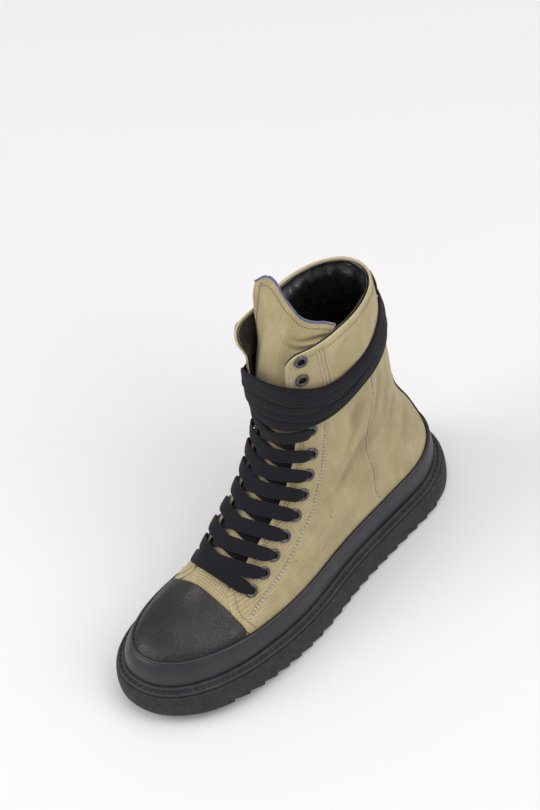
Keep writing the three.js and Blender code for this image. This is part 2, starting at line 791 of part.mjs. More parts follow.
function wrapsGeometry() {
  const steps = 28;
  const profiles = [];
  for (let i = 0; i < steps; i += 1) {
    const turn = (i / steps) * 2 * Math.PI;
    const folded = Math.atan2(Math.sin(turn), Math.cos(turn));
    const dip = lapDip * Math.exp(-(((folded + 0.75) / 0.4) ** 2));
    const round = (key) => {
      const ends = lerp(lapLevels.back[key], lapLevels.front[key], (1 + Math.cos(turn)) / 2);
      const straight = (lapLevels.back[key] + lapLevels.front[key]) / 2;
      return ends + (lapLevels.side[key] - straight) * Math.sin(turn) ** 2 - key * dip;
    };
    const base = lerp(lapBase, lapRest, smooth((Math.abs(folded) - 1) / 0.8));
    const half = levelStep(turn, 0.88, laceWidth / 2);
    const low = round(0) - half;
    const high = round(1) + half;
    const outer = base + laceThickness;
    const profile = [skin(turn, high, base), skin(turn, low, base)];
    for (let lap = 0; lap < lapCount; lap += 1) {
      const bottom = lerp(low, high, lap / lapCount);
      const top = lerp(low, high, (lap + 1) / lapCount);
      if (lap > 0) profile.push(skin(turn, bottom, outer - lapGroove));
      profile.push(skin(turn, lerp(bottom, top, 0.12), outer));
      profile.push(skin(turn, lerp(bottom, top, 0.88), outer));
    }
    profiles.push(profile.reverse());
  }
  return ringBody(profiles);
}

// Assembly
const canvas = new THREE.MeshStandardMaterial({ color: 0x9c8e66, roughness: 0.85, metalness: 0 });
const leather = new THREE.MeshStandardMaterial({ color: 0x2c292b, roughness: 0.45, metalness: 0 });
const band = new THREE.MeshStandardMaterial({ color: 0x323034, roughness: 0.4, metalness: 0 });
const rubber = new THREE.MeshStandardMaterial({ color: 0x2b2a2b, roughness: 0.75, metalness: 0 });
const lace = new THREE.MeshStandardMaterial({ color: 0x17181d, roughness: 0.9, metalness: 0 });
const metal = new THREE.MeshStandardMaterial({ color: 0x3a393c, roughness: 0.35, metalness: 0.8 });
const lining = new THREE.MeshStandardMaterial({ color: 0x151415, roughness: 0.35, metalness: 0 });

const shoe = new THREE.Group();

function addPiece(name, geometry, material) {
  const mesh = new THREE.Mesh(geometry, material);
  mesh.name = name;
  shoe.add(mesh);
}

addPiece('outsole', outsoleGeometry(), rubber);
addPiece('welt', weltGeometry(), rubber);
addPiece('insole', insoleGeometry(), lining);
addPiece('upper', upperGeometry(), canvas);
addPiece('foxing', foxingGeometry(), band);
addPiece('toe_cap', capGeometry(), leather);
addPiece('tongue', tongueGeometry(), canvas);
addPiece('laces', lacesGeometry(), lace);
addPiece('lace_wraps', wrapsGeometry(), lace);
eyeletLevels.forEach((level, i) => {
  const number = String(i + 1).padStart(2, '0');
  shoe.add(eyeletMesh(level, 1, `eyelet_outer_${number}`, metal));
  shoe.add(eyeletMesh(level, -1, `eyelet_inner_${number}`, metal));
});

// The origin is below the middle of the shoe's box
const box = new THREE.Box3().setFromObject(shoe);
const middle = box.getCenter(new THREE.Vector3());
shoe.position.set(-middle.x, -middle.y, -box.min.z);

export default shoe;
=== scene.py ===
"""Left high-top sneaker: canvas upper, leather toe cap and lining, notched platform sole, flat laces.

Sizes are millimetres until a mesh is made. A place on the shoe is (turn, level): turn is the angle round the
foot, 0 at the toe, positive on the outer side and pi at the heel; level runs from the feather line, where the
upper meets the sole, to the collar.
"""
import math

import bpy
import numpy as np
from mathutils import Matrix


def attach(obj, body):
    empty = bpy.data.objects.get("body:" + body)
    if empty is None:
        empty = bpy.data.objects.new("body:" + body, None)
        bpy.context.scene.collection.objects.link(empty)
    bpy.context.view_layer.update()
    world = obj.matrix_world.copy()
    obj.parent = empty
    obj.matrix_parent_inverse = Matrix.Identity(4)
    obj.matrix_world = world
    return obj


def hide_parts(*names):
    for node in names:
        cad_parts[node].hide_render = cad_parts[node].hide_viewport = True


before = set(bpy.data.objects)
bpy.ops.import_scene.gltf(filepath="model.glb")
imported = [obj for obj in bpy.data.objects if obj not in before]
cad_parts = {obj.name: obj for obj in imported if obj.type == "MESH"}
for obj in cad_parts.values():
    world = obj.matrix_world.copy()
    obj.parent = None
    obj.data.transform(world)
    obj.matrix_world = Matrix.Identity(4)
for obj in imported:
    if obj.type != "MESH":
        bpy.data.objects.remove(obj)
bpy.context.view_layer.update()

# The shoe's own sizes, as in the frame's solids
MM = 0.001
LAST_LENGTH = 280.0
BALL_WIDTH = 86.5
HEEL_WIDTH = 71.0
ANKLE_WIDTH = 67.0
COLLAR_WIDTH = 58.0
SHAFT_HEIGHT = 204.0
TOE_SPRING = 8.8
TOE_TURN = 13.0
SHAFT_LEAN = 4.2
WAIST_TUCK = 6.4
WALL = 2.2
QUARTER_STEP = 0.8
CUFF_HEIGHT = 26.0
FLAP_FLARE = 7.0
FLAP_CORNER = 9.0
OUTSOLE_HEIGHT = 20.3
OUTSOLE_MARGIN = 10.2
SIDEWALL_BULGE = 0.9
PLATFORM_MARGIN = 0.7
WELT_HEIGHT = 5.5
WELT_MARGIN = 7.7
NOTCH_COUNT = 20
NOTCH_PITCH = 11.0
NOTCH_DEPTH = 3.0
NOTCH_REACH = 13.0
ARCH_RISE = 2.0
HEEL_BEVEL = 2.5
TOE_BEVEL = 3.0
FOXING_THICKNESS = 1.9
FOXING_RIM = 0.8
CAP_THICKNESS = 1.1
CAP_LENGTH = 64.0
THROAT_WIDTH = 34.0
THROAT_LENGTH = 194.0
TONGUE_THICKNESS = 2.2
TONGUE_WIDTH = 60.0
TONGUE_TOP_WIDTH = 45.6
TONGUE_LEAN = 50.0
TONGUE_RISE = 34.0
TONGUE_SHIFT = 2.5
EYELET_SPREAD = 51.0
EYELET_SPREAD_TOP = 46.5
EYELET_DIAMETER = 9.6
EYELET_HOLE = 5.0
EYELET_HEIGHT = 0.9
LACE_WIDTH = 9.6
LACE_THICKNESS = 1.4
LACED_ROWS = 9
LAP_COUNT = 5
FOXING_LEVEL = 1 / 9
THROAT_LEVEL = 0.34
FOOTBED = OUTSOLE_HEIGHT + WELT_HEIGHT
FEATHER = FOOTBED + 0.3
FIRST_NOTCH = NOTCH_COUNT * NOTCH_PITCH / 2 - LAST_LENGTH * 0.032
NOTCH_FLAT = 0.6
TREAD_DEPTH = 1.7
EYELET_BASE = QUARTER_STEP + 0.65
LACE_BASE = EYELET_BASE + EYELET_HEIGHT + 0.5
LAP_BASE = LACE_BASE + 0.5
LAP_REST = QUARTER_STEP + 1.3
LAP_DIP = 0.035

# What puts the middle of the shoe's box over the origin
CENTRING = np.array([1.190002, 1.217009, 0.0])

# Rings of the last: front and back ends, half widths, rounded ends and fullness, as shares
RING_COLUMNS = ("front_x", "front_z", "back_x", "back_z", "width", "outer", "inner", "heel",
                "nose_outer", "nose_inner", "rear", "square")
RINGS = np.array([
    [0.4955, 0, -0.504, 0, 0, 1, 0.8, 1, 0.24, 0.225, 0.164, 2.2],
    [0.466, 0.081, -0.497, 0.115, 0, 0.92, 0.79, 0.99, 0.25, 0.36, 0.164, 2.2],
    [0.391, 0.136, -0.49, 0.173, 0, 0.85, 0.775, 0.96, 0.3, 0.36, 0.164, 2.1],
    [0.286, 0.2, -0.475, 0.242, 0, 0.83, 0.765, 0.93, 0.34, 0.346, 0.164, 2],
    [0.2, 0.295, -0.4575, 0.311, 0, 0.785, 0.755, 0.91, 0.34, 0.34, 0.164, 2],
    [0.103, 0.373, -0.431, 0.394, 0, 0.765, 0.765, 0.93, 0.286, 0.286, 0.164, 2],
    [0.011, 0.481, -0.423, 0.477, 1, 1, 1, 1, 0.221, 0.221, 0.164, 2.1],
    [-0.041, 0.604, -0.424, 0.595, 1, 1, 1, 1, 0.196, 0.196, 0.171, 2.25],
    [-0.048, 0.81, -0.426, 0.794, 1.5, 1, 1, 1, 0.186, 0.186, 0.179, 2.4],
    [-0.055, 1.005, -0.421, 0.972, 2, 1, 1, 1, 0.179, 0.179, 0.179, 2.4]])
EYELET_SHARES = (0, 0.073, 0.145, 0.223, 0.307, 0.385, 0.463, 0.549, 0.652, 0.79, 0.915, 1)


def smooth(t):
    c = np.clip(t, 0, 1)
    return c * c * (3 - 2 * c)


def lerp(a, b, t):
    return a + (b - a) * t


def unit(v):
    return v / np.maximum(np.linalg.norm(v, axis=-1, keepdims=True), 1e-9)


def folded(turn):
    """The turn as an angle from minus pi to pi."""
    return np.arctan2(np.sin(turn), np.cos(turn))


def lengths_along(points):
    """The length of a line of points up to each of them."""
    return np.concatenate([[0], np.cumsum(np.linalg.norm(np.diff(points, axis=0), axis=1))])


def read_rows(at, known_at, rows):
    """Rows of three numbers, known at some places, read at others."""
    return np.stack([np.interp(at, known_at, rows[:, k]) for k in range(3)], axis=1)


def spline(rows, s):
    """A smooth line through rows of numbers, at places s: 0 is the first row, 1 the second."""
    final = len(rows) - 1
    i = np.minimum(s.astype(int), final - 1)
    t = (s - i)[..., None]
    b, c = rows[i], rows[i + 1]
    a = np.where((i > 0)[..., None], rows[np.maximum(i - 1, 0)], 2 * b - c)
    d = np.where((i < final - 1)[..., None], rows[np.minimum(i + 2, final)], 2 * c - b)
    return (2 * b + (c - a) * t + (2 * a - 5 * b + 4 * c - d) * t * t + (3 * b - a - 3 * c + d) * t ** 3) / 2


def round_end(a, power):
    return np.maximum(1 - (1 - np.clip(a, 0, 1)) ** power, 0) ** (1 / power)


def ring_sizes():
    """The rings' table in millimetres."""
    table = RINGS.copy()
    for row in table:
        kind = row[4]
        for column, low in ((5, BALL_WIDTH), (6, BALL_WIDTH), (7, HEEL_WIDTH)):
            widths = (low, ANKLE_WIDTH, COLLAR_WIDTH)
            i = min(int(kind), 1)
            row[column] *= lerp(widths[i], widths[i + 1], kind - i) / 2
    for column in (0, 2, 8, 9, 10):
        table[:, column] *= LAST_LENGTH
    for column in (1, 3):
        table[:, column] = table[:, column] * SHAFT_HEIGHT + FEATHER
    return table


SECTIONS = ring_sizes()


def section_at(level):
    """The ring at each level, smoothly between its neighbours, as a dict of arrays."""
    value = spline(SECTIONS, np.clip(level, 0, 1) * (len(SECTIONS) - 1))
    return {name: value[..., k] for k, name in enumerate(RING_COLUMNS)}


def spring(x):
    return TOE_SPRING * smooth((x / LAST_LENGTH - 0.071) / 0.446)


def toe_turn(x):
    """How far the middle line swings to the inner side towards the toe."""
    return TOE_TURN * smooth(x / LAST_LENGTH * 1.867)


def last_place(turn, level):
    """x, z, the middle line's y and the half width of the last."""
    turn, level = np.broadcast_arrays(np.asarray(turn, float), np.asarray(level, float))
    s = section_at(level)
    f = (1 - np.cos(turn)) / 2
    inner = np.sin(turn) < -1e-12
    reach = np.hypot(s["front_x"] - s["back_x"], s["front_z"] - s["back_z"])
    to_heel = smooth((f - 0.25) / 0.6)
    tuck = WAIST_TUCK * np.exp(-((level / 0.28) ** 2)) * np.where(inner, 1, 0.5)
    half = lerp(np.where(inner, s["inner"], s["outer"]), s["heel"], to_heel)
    half = half - tuck * np.exp(-(((f - 0.57) / 0.16) ** 2))
    half = half * round_end(f * reach / np.where(inner, s["nose_inner"], s["nose_outer"]), s["square"])
    half = half * round_end((1 - f) * reach / s["rear"], 2.1)
    x = lerp(s["front_x"], s["back_x"], f)
    centre = -toe_turn(x) - SHAFT_LEAN * smooth((level - 0.35) / 0.65)
    z = lerp(s["front_z"], s["back_z"], f) + (1 - smooth((level - FOXING_LEVEL) / 0.25)) * spring(x)
    return x, z, centre, half


def last(turn, level):
    x, z, centre, half = last_place(turn, level)
    return np.stack([x, centre + np.sign(np.sin(turn)) * half, z], axis=-1)


def last_normal(turn, level):
    step = 0.004
    along = last(turn + step, level) - last(turn - step, level)
    up = last(turn, np.minimum(level + step, 1)) - last(turn, np.maximum(level - step, 0))
    normal = np.cross(along, up)
    normal[..., 2] *= smooth(2 * np.asarray(level) / FOXING_LEVEL)
    return unit(normal)


def skin(turn, level, height):
    """Points at a height over the last's surface, or under it where the height is negative."""
    turn, level = np.broadcast_arrays(np.asarray(turn, float), np.asarray(level, float))
    return last(turn, level) + last_normal(turn, level) * np.asarray(height)[..., None]


def bisect(is_low, low, high, steps=30):
    for _ in range(steps):
        middle = (low + high) / 2
        below = is_low(middle)
        low, high = np.where(below, middle, low), np.where(below, high, middle)
    return low


def turn_at_width(level, distance):
    """The turn at which a ring is a distance from the middle line."""
    level = np.asarray(level, float)
    zero = np.zeros_like(level)
    return bisect(lambda turn: last_place(turn, level)[3] < distance, zero, zero + math.pi / 2)


def level_at_x(turn, x):
    turn = np.asarray(turn, float)
    zero = np.zeros_like(turn)
    return bisect(lambda level: last_place(turn, level)[0] > x, zero + FOXING_LEVEL, zero + 0.6)


def level_step(turn, level, length):
    """How much the level changes over a length up the shaft."""
    step = 0.01
    return length * step / np.linalg.norm(last(turn, level + step) - last(turn, level), axis=-1)


def quarter_edge(level):
    """Turn of the quarter's front edge: down the vamp below the throat, then up the throat."""
    level = np.asarray(level, float)
    corner = turn_at_width(THROAT_LEVEL, THROAT_WIDTH / 2)
    below = lerp(corner, 1.05, 1 - (1 - np.clip(1 - level / THROAT_LEVEL, 0, 1)) ** 1.6)
    return np.where(level >= THROAT_LEVEL, turn_at_width(level, THROAT_WIDTH / 2), below)


def flare(turn, level):
    """How far the inner side's flap stands away from the tongue, above the laps."""
    turn, level = np.broadcast_arrays(np.asarray(turn, float), np.asarray(level, float))
    from_edge = -folded(turn) - quarter_edge(level)
    away = FLAP_FLARE * smooth(1 - from_edge / 0.8) * smooth((level - 0.935) / 0.065)
    return np.where(from_edge < -0.1, 0, away)


def outline(turn, margin, z):
    """A point of the feather line's plan, moved outwards by a margin, at a height."""
    turn, margin, z = np.broadcast_arrays(np.asarray(turn, float), margin, z)
    ahead = last(turn + 0.004, 0) - last(turn - 0.004, 0)
    sideways = unit(np.stack([ahead[..., 1], -ahead[..., 0], np.zeros_like(turn)], axis=-1))
    point = last(turn, 0) + sideways * margin[..., None]
    point[..., 2] = z
    return point


def turn_at_x(x):
    front, back = SECTIONS[0][0], SECTIONS[0][2]
    return np.arccos(np.clip(1 - 2 * (front - np.asarray(x, float)) / (front - back), -1, 1))


def through(rows, samples):
    """A smooth line through a few rows, sampled evenly between them."""
    rows = np.asarray(rows, float)
    return spline(rows, np.linspace(0, len(rows) - 1, samples))


def even(points, pitch):
    """Places along a line of points, a pitch apart: the share of its length and the points."""
    lengths = lengths_along(points)
    at = np.linspace(0, lengths[-1], max(int(round(lengths[-1] / pitch)), 1) + 1)
    return at / lengths[-1], read_rows(at, lengths, points)


def placed(name, data):
    """A new object in the scene."""
    made = bpy.data.objects.new(name, data)
    bpy.context.scene.collection.objects.link(made)
    return made


# Camera: the photo's size and, in its pixels, the focal length and where the aim shows
PHOTO_WIDTH, PHOTO_HEIGHT = 540, 810
FOCAL = 2912.32
AIM_PIXEL = (274.93, 502.11)
AIM_HEIGHT = 90
CAMERA_DISTANCE = 1992.25
SENSOR = 36


def standing(right, up, back, place):
    """The matrix of a camera or light that looks away from back."""
    return Matrix(np.vstack([np.column_stack([right, up, back, place]), [0, 0, 0, 1]]).tolist())


def look():
    """The camera stands where the photographer's did, found from the sole, cap, eyelets and collar."""
    azimuth, elevation, roll = (math.radians(v) for v in (140.04, 50.10, -11.85))
    back = np.array([math.sin(azimuth) * math.cos(elevation), -math.cos(azimuth) * math.cos(elevation),
                     math.sin(elevation)])
    level_right = np.array([math.cos(azimuth), math.sin(azimuth), 0])
    level_up = np.cross(back, level_right)
    right = math.cos(roll) * level_right + math.sin(roll) * level_up
    up = -math.sin(roll) * level_right + math.cos(roll) * level_up
    aside = (AIM_PIXEL[0] - PHOTO_WIDTH / 2) * CAMERA_DISTANCE / FOCAL
    above = -(AIM_PIXEL[1] - PHOTO_HEIGHT / 2) * CAMERA_DISTANCE / FOCAL
    place = np.array([0, 0, AIM_HEIGHT]) + CENTRING - aside * right - above * up + CAMERA_DISTANCE * back
    data = bpy.data.cameras.new("camera")
    data.sensor_fit = "VERTICAL"
    data.sensor_height = SENSOR
    data.lens = FOCAL * SENSOR / PHOTO_HEIGHT
    data.clip_start = 0.05
    data.clip_end = 20
    camera = placed("camera", data)
    camera.matrix_world = standing(right, up, back, place * MM)
    bpy.context.scene.camera = camera


class Finish:
    """A node material of one finish, built up step by step."""

    def __init__(self, name, roughness=0.5, colour=(0.5, 0.5, 0.5), **sockets):
        self.material = bpy.data.materials.new(name)
        self.material.use_nodes = True
        self.tree = self.material.node_tree
        self.shader = self.tree.nodes["Principled BSDF"]
        self.set("Base Color", (*colour, 1))
        self.set("Roughness", roughness)
        for socket, value in sockets.items():
            self.set(socket.replace("_", " ").title().replace("Ior", "IOR"), value)
        self.normal = None
        self.object = self.node("ShaderNodeTexCoord").outputs["Object"]

    def node(self, kind, **settings):
        made = self.tree.nodes.new(kind)
        for key, value in settings.items():
            setattr(made, key, value)
        return made

    def put(self, socket, value):
        if isinstance(value, bpy.types.NodeSocket):
            self.tree.links.new(value, socket)
        else:
            socket.default_value = value

    def set(self, name, value):
        self.put(self.shader.inputs[name], value)

    def calc(self, operation, a, b=0.0, c=0.0):
        made = self.node("ShaderNodeMath", operation=operation)
        for socket, value in zip(made.inputs, (a, b, c)):
            self.put(socket, value)
        return made.outputs[0]

    def band(self, value, low, high, start=0.0, end=1.0):
        """start below low, end above high, smooth between."""
        made = self.node("ShaderNodeMapRange", interpolation_type="SMOOTHSTEP")
        for socket, number in zip(made.inputs, (value, low, high, start, end)):
            self.put(socket, number)
        return made.outputs[0]

    def stretched(self, vector, scale=(1, 1, 1), turn=(0, 0, 0), place=(0, 0, 0), kind="POINT"):
        made = self.node("ShaderNodeMapping", vector_type=kind)
        self.put(made.inputs["Vector"], vector)
        made.inputs["Location"].default_value = place
        made.inputs["Scale"].default_value = scale
        made.inputs["Rotation"].default_value = [math.radians(v) for v in turn]
        return made.outputs[0]

    def length(self, vector):
        made = self.node("ShaderNodeVectorMath", operation="LENGTH")
        self.put(made.inputs[0], vector)
        return made.outputs["Value"]

    def noise(self, pitch, detail=2.0, rough=0.5, vector=None, distortion=0.0):
        """Noise with features about pitch millimetres wide, 0 to 1."""
        made = self.node("ShaderNodeTexNoise")
        self.put(made.inputs["Vector"], self.object if vector is None else vector)
        made.inputs["Scale"].default_value = 1 / (pitch * MM)
        made.inputs["Detail"].default_value = detail
        made.inputs["Roughness"].default_value = rough
        made.inputs["Distortion"].default_value = distortion
        return made.outputs[0]

    def cells(self, pitch, feature="F1"):
        made = self.node("ShaderNodeTexVoronoi", feature=feature)
        self.put(made.inputs["Vector"], self.object)
        made.inputs["Scale"].default_value = 1 / (pitch * MM)
        return made.outputs["Distance"]

    def mix(self, share, a, b):
        made = self.node("ShaderNodeMix", data_type="RGBA")
        self.put(made.inputs[0], share)
        self.put(made.inputs[6], a if isinstance(a, bpy.types.NodeSocket) else (*a, 1))
        self.put(made.inputs[7], b if isinstance(b, bpy.types.NodeSocket) else (*b, 1))
        return made.outputs[2]

    def relief(self, height, depth, strength=1.0):
        """Adds a bump of a depth in millimetres."""
        made = self.node("ShaderNodeBump")
        made.inputs["Strength"].default_value = strength
        made.inputs["Distance"].default_value = depth * MM
        self.put(made.inputs["Height"], height)
        if self.normal is not None:
            self.put(made.inputs["Normal"], self.normal)
        self.normal = made.outputs[0]
        self.set("Normal", self.normal)

    def attribute(self, name):
        return self.node("ShaderNodeAttribute", attribute_name=name).outputs["Fac"]

    def across(self):
        """The piece's own map, in millimetres: along and across."""
        made = self.node("ShaderNodeSeparateXYZ")
        self.put(made.inputs[0], self.node("ShaderNodeUVMap", uv_map="UVMap").outputs[0])
        return made.outputs[0], made.outputs[1]

    def wave(self, value, pitch):
        """A wave from 0 to 1 that repeats every pitch."""
        turned = self.calc("MULTIPLY", value, 2 * math.pi / pitch)
        return self.calc("MULTIPLY_ADD", self.calc("SINE", turned), 0.5, 0.5)

    def line(self, value, pitch, width):
        """1 on thin lines a pitch apart, 0 between them."""
        saw = self.calc("FRACT", self.calc("DIVIDE", value, pitch))
        off = self.calc("ABSOLUTE", self.calc("SUBTRACT", saw, 0.5))
        return self.band(off, 0.0, width / pitch, 1.0, 0.0)


# Dark marks on the outer side, as in the photo: middle, half sizes along, up and out, slant in degrees
SCUFFS = [((-5.6, 35.7, 61.0), (5.2, 0.55, 4), 12), ((19.9, 33.3, 70.0), (1.0, 0.8, 4), 0),
          ((6.8, 36.3, 59.4), (1.1, 0.7, 4), 20), ((15.5, 35.0, 67.6), (0.7, 0.7, 4), 0),
          ((-17.3, 34.5, 80.5), (0.7, 1.8, 4), 15), ((-2.0, 34.0, 74.0), (2.4, 0.4, 4), 35)]


# The ripstop grid of the canvas
GRID_PITCH = 1.9
GRID_WIDTH = 0.42


def canvas_finish():
    """Plain-weave cotton with a grid of thicker yarns, paler near its open edges and in soft patches, with
    painted shade darkening its creases.
    """
    f = Finish("khaki ripstop canvas", roughness=0.86, sheen_weight=0.1, sheen_roughness=0.5)
    along, up = f.across()
    patches = f.band(f.noise(38, 3, 0.6), 0.3, 0.72)
    colour = f.mix(patches, (0.325, 0.262, 0.124), (0.415, 0.34, 0.176))
    slubs = f.noise(1.0, 2, 0.6, f.stretched(f.object, (0.12, 0.12, 1.0)))
    colour = f.mix(f.band(slubs, 0.35, 0.75, 0.0, 0.35), colour, (0.43, 0.365, 0.222))
    yarns = (f.line(way, GRID_PITCH, GRID_WIDTH) for way in (along, up))
    grid = f.calc("MAXIMUM", *yarns)
    height = f.node("ShaderNodeSeparateXYZ")
    f.put(height.inputs[0], f.object)
    low = f.band(height.outputs[2], 0.08, 0.21, 1.0, 0.4)
    colour = f.mix(f.calc("MULTIPLY", low, 0.3), colour, (0.45, 0.37, 0.2))
    shown = f.calc("MULTIPLY", low, f.band(f.noise(30, 3, 0.6), 0.38, 0.62, 0.5, 1.0))
    grid = f.calc("MULTIPLY", grid, shown)
    colour = f.mix(f.calc("MULTIPLY", grid, 0.8), colour, (0.15, 0.115, 0.052))
    streaks = f.noise(5.0, 2, 0.6, f.stretched(f.object, (1.0, 1.0, 0.09)))
    colour = f.mix(f.band(streaks, 0.5, 0.75, 0.0, 0.3), colour, (0.48, 0.41, 0.25))
    # painted shade: the canvas is darkened along its creases and folds
    painted_crease_shade = f.band(f.attribute("crease_shade"), 0.0, 1.0, 0.0, 0.55)
    colour = f.mix(painted_crease_shade, colour, (0.185, 0.143, 0.065))
    # paler near the panels' open edges and in soft patches
    paling_share = f.calc("MULTIPLY", f.attribute("paling"), 0.4)
    colour = f.mix(paling_share, colour, (0.52, 0.46, 0.32))
    for place, (along_half, up_half, out_half), slant in SCUFFS:
        centre = tuple((np.array(place) + CENTRING) * MM)
        halves = tuple(v * MM for v in (along_half, out_half, up_half))
        inside = f.stretched(f.object, halves, (0, slant, 0), centre, "TEXTURE")
        mark = f.band(f.length(inside), 0.5, 1.1, 0.6, 0.0)
        colour = f.mix(mark, colour, (0.07, 0.06, 0.045))
    f.set("Base Color", colour)
    f.set("Roughness", f.band(patches, 0, 1, 0.9, 0.8))
    weave = f.calc("MULTIPLY", f.wave(along, 0.5), f.wave(up, 0.5))
    f.relief(f.noise(16, 3, 0.55), 0.9, 0.5)
    f.relief(f.calc("SUBTRACT", f.calc("MULTIPLY", weave, 0.5), grid), 0.12, 0.7)
    return f.material


def cap_finish():
    """Pebbled black leather with fine wrinkles and a soft shine."""
    f = Finish("pebbled black leather", roughness=0.42, specular_ior_level=0.32, coat_weight=0.04,
               coat_roughness=0.3)
    paling = f.band(f.noise(22, 4, 0.6), 0.35, 0.7)
    f.set("Base Color", f.mix(paling, (0.0115, 0.01, 0.011), (0.02, 0.0175, 0.019)))
    f.set("Roughness", f.band(f.noise(7, 3, 0.6), 0.3, 0.7, 0.34, 0.52))
    pebbles = f.cells(1.5, "SMOOTH_F1")
    f.relief(f.noise(6, 3, 0.55, distortion=0.4), 0.2, 0.5)
    f.relief(pebbles, 0.36, 0.7)
    f.relief(f.noise(0.7, 2), 0.05, 0.4)
    return f.material


def band_finish():
    """Smooth charcoal rand with a soft sheen and faint marks."""
    f = Finish("smooth charcoal band", roughness=0.4, specular_ior_level=0.42, coat_weight=0.04,
               coat_roughness=0.35)
    worn = f.band(f.noise(30, 4, 0.65), 0.3, 0.75)
    f.set("Base Color", f.mix(worn, (0.0145, 0.0135, 0.017), (0.025, 0.0235, 0.029)))
    marks = f.noise(9, 4, 0.7, f.stretched(f.object, (0.25, 0.6, 1.4)))
    f.set("Roughness", f.band(marks, 0.35, 0.7, 0.36, 0.54))
    f.relief(f.noise(14, 2), 0.35, 0.3)
    f.relief(f.noise(0.5, 2), 0.035, 0.5)
    return f.material


def rubber_finish(name, base, worn, roughness):
    """Moulded rubber with a fine sandy grain."""
    f = Finish(name, roughness=roughness, specular_ior_level=0.35)
    colour = f.mix(f.band(f.noise(11, 4, 0.7), 0.35, 0.75), base, worn)
    dust = f.band(f.noise(0.9, 3, 0.75), 0.6, 0.78)
    f.set("Base Color", f.mix(f.calc("MULTIPLY", dust, 0.5), colour, (0.085, 0.08, 0.08)))
    f.set("Roughness", f.band(f.noise(3, 3), 0.3, 0.7, roughness - 0.08, roughness + 0.1))
    f.relief(f.cells(0.75), 0.16, 0.7)
    f.relief(f.noise(0.35, 2, 0.7), 0.1, 0.6)
    return f.material


def lining_finish():
    """Glossy black leather, wrinkled where the foot goes in."""
    f = Finish("glossy black lining", roughness=0.3, coat_weight=1.0, coat_roughness=0.22)
    worn = f.band(f.noise(18, 3), 0.3, 0.7)
    f.set("Base Color", f.mix(worn, (0.008, 0.008, 0.0085), (0.018, 0.017, 0.018)))
    f.set("Roughness", f.band(f.noise(6, 3), 0.3, 0.7, 0.24, 0.38))
    f.relief(f.noise(11, 3, 0.55, f.stretched(f.object, (1, 1, 0.6)), 0.8), 3.2, 0.9)
    f.relief(f.cells(1.1, "SMOOTH_F1"), 0.12, 0.4)
    return f.material


def lace_finish():
    """Flat woven cotton: ribs along the lace, each of slanted yarns."""
    f = Finish("black woven lace", roughness=0.9, specular_ior_level=0.2, sheen_weight=0.05,
               sheen_roughness=0.4)
    along, across = f.across()
    ribs = f.wave(across, 1.35)
    slant = f.calc("ADD", along, f.calc("MULTIPLY", across, 0.8))
    yarns = f.wave(slant, 0.75)
    fuzz = f.noise(0.8, 3, 0.7)
    colour = f.mix(ribs, (0.0025, 0.0025, 0.004), (0.0135, 0.0137, 0.019))
    colour = f.mix(f.band(fuzz, 0.55, 0.8, 0, 0.5), colour, (0.028, 0.028, 0.035))
    f.set("Base Color", colour)
    f.relief(f.calc("MULTIPLY_ADD", yarns, 0.12, ribs), 0.4, 0.85)
    f.relief(fuzz, 0.1, 0.5)
    return f.material


def thread_finish(name, base):
    f = Finish(name, roughness=0.8, specular_ior_level=0.2)
    f.set("Base Color", f.mix(f.noise(3, 2), tuple(0.75 * v for v in base), base))
    f.relief(f.wave(f.noise(0.6, 1), 0.4), 0.05, 0.5)
    return f.material


def metal_finish():
    """Gunmetal, rubbed on its edge."""
    f = Finish("gunmetal", roughness=0.34, metallic=0.85)
    worn = f.band(f.noise(2.5, 3), 0.35, 0.7)
    f.set("Base Color", f.mix(worn, (0.07, 0.067, 0.07), (0.13, 0.125, 0.13)))
    f.set("Roughness", f.band(f.noise(1.2, 3), 0.3, 0.7, 0.28, 0.46))
    f.relief(f.noise(0.6, 2), 0.03, 0.4)
    return f.material


def selvedge_finish():
    """Raw woven edge in blue, with paler loose ends."""
    f = Finish("blue and white selvedge", roughness=0.9)
    along, _ = f.across()
    ends = f.band(f.noise(1.3, 3, 0.7), 0.52, 0.7)
    f.set("Base Color", f.mix(ends, (0.1, 0.102, 0.2), (0.25, 0.25, 0.31)))
    f.relief(f.wave(along, 0.6), 0.2, 0.7)
    return f.material


def floor_finish():
    f = Finish("pale studio floor", roughness=0.75, colour=(0.705, 0.695, 0.7))
    f.set("Specular IOR Level", 0.2)
    return f.material


CANVAS = canvas_finish()
LEATHER = cap_finish()
BAND = band_finish()
SIDEWALL = rubber_finish("charcoal sole rubber", (0.017, 0.0165, 0.0175),
                         (0.029, 0.028, 0.0285), 0.7)
WELT_RUBBER = rubber_finish("charcoal welt rubber", (0.021, 0.0205, 0.0225),
                            (0.035, 0.034, 0.0355), 0.52)
LINING = lining_finish()
LACE = lace_finish()
CREAM = thread_finish("cream thread", (0.52, 0.475, 0.39))
TAN = thread_finish("tan thread", (0.2, 0.16, 0.1))
BLACK = thread_finish("black thread", (0.02, 0.02, 0.022))
SHADE = thread_finish("shaded hole", (0.0025, 0.0022, 0.0022))
METAL = metal_finish()
SELVEDGE = selvedge_finish()
TAB = thread_finish("brown tab", (0.17, 0.09, 0.045))


# How far a sheet's rim stands out, as a share of its thickness
RIM_SWELL = 0.35


# Meshes
def new_mesh(name, points, faces=()):
    """A mesh from points in millimetres."""
    mesh = bpy.data.meshes.new(name)
    mesh.from_pydata(((points + CENTRING) * MM).tolist(), [], [tuple(face) for face in faces])
    return mesh


def write_marks(mesh, marks, kind, field):
    """Values for each point of a mesh, by name."""
    for name, values in marks.items():
        layer = mesh.attributes.new(name, kind, "POINT")
        layer.data.foreach_set(field, np.asarray(values, np.float32).ravel())


def finished(name, mesh, material, stands_for=()):
    made = placed(name, mesh)
    mesh.materials.clear()
    mesh.materials.append(material)
    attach(made, "root")
    if stands_for:
        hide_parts(*stands_for)


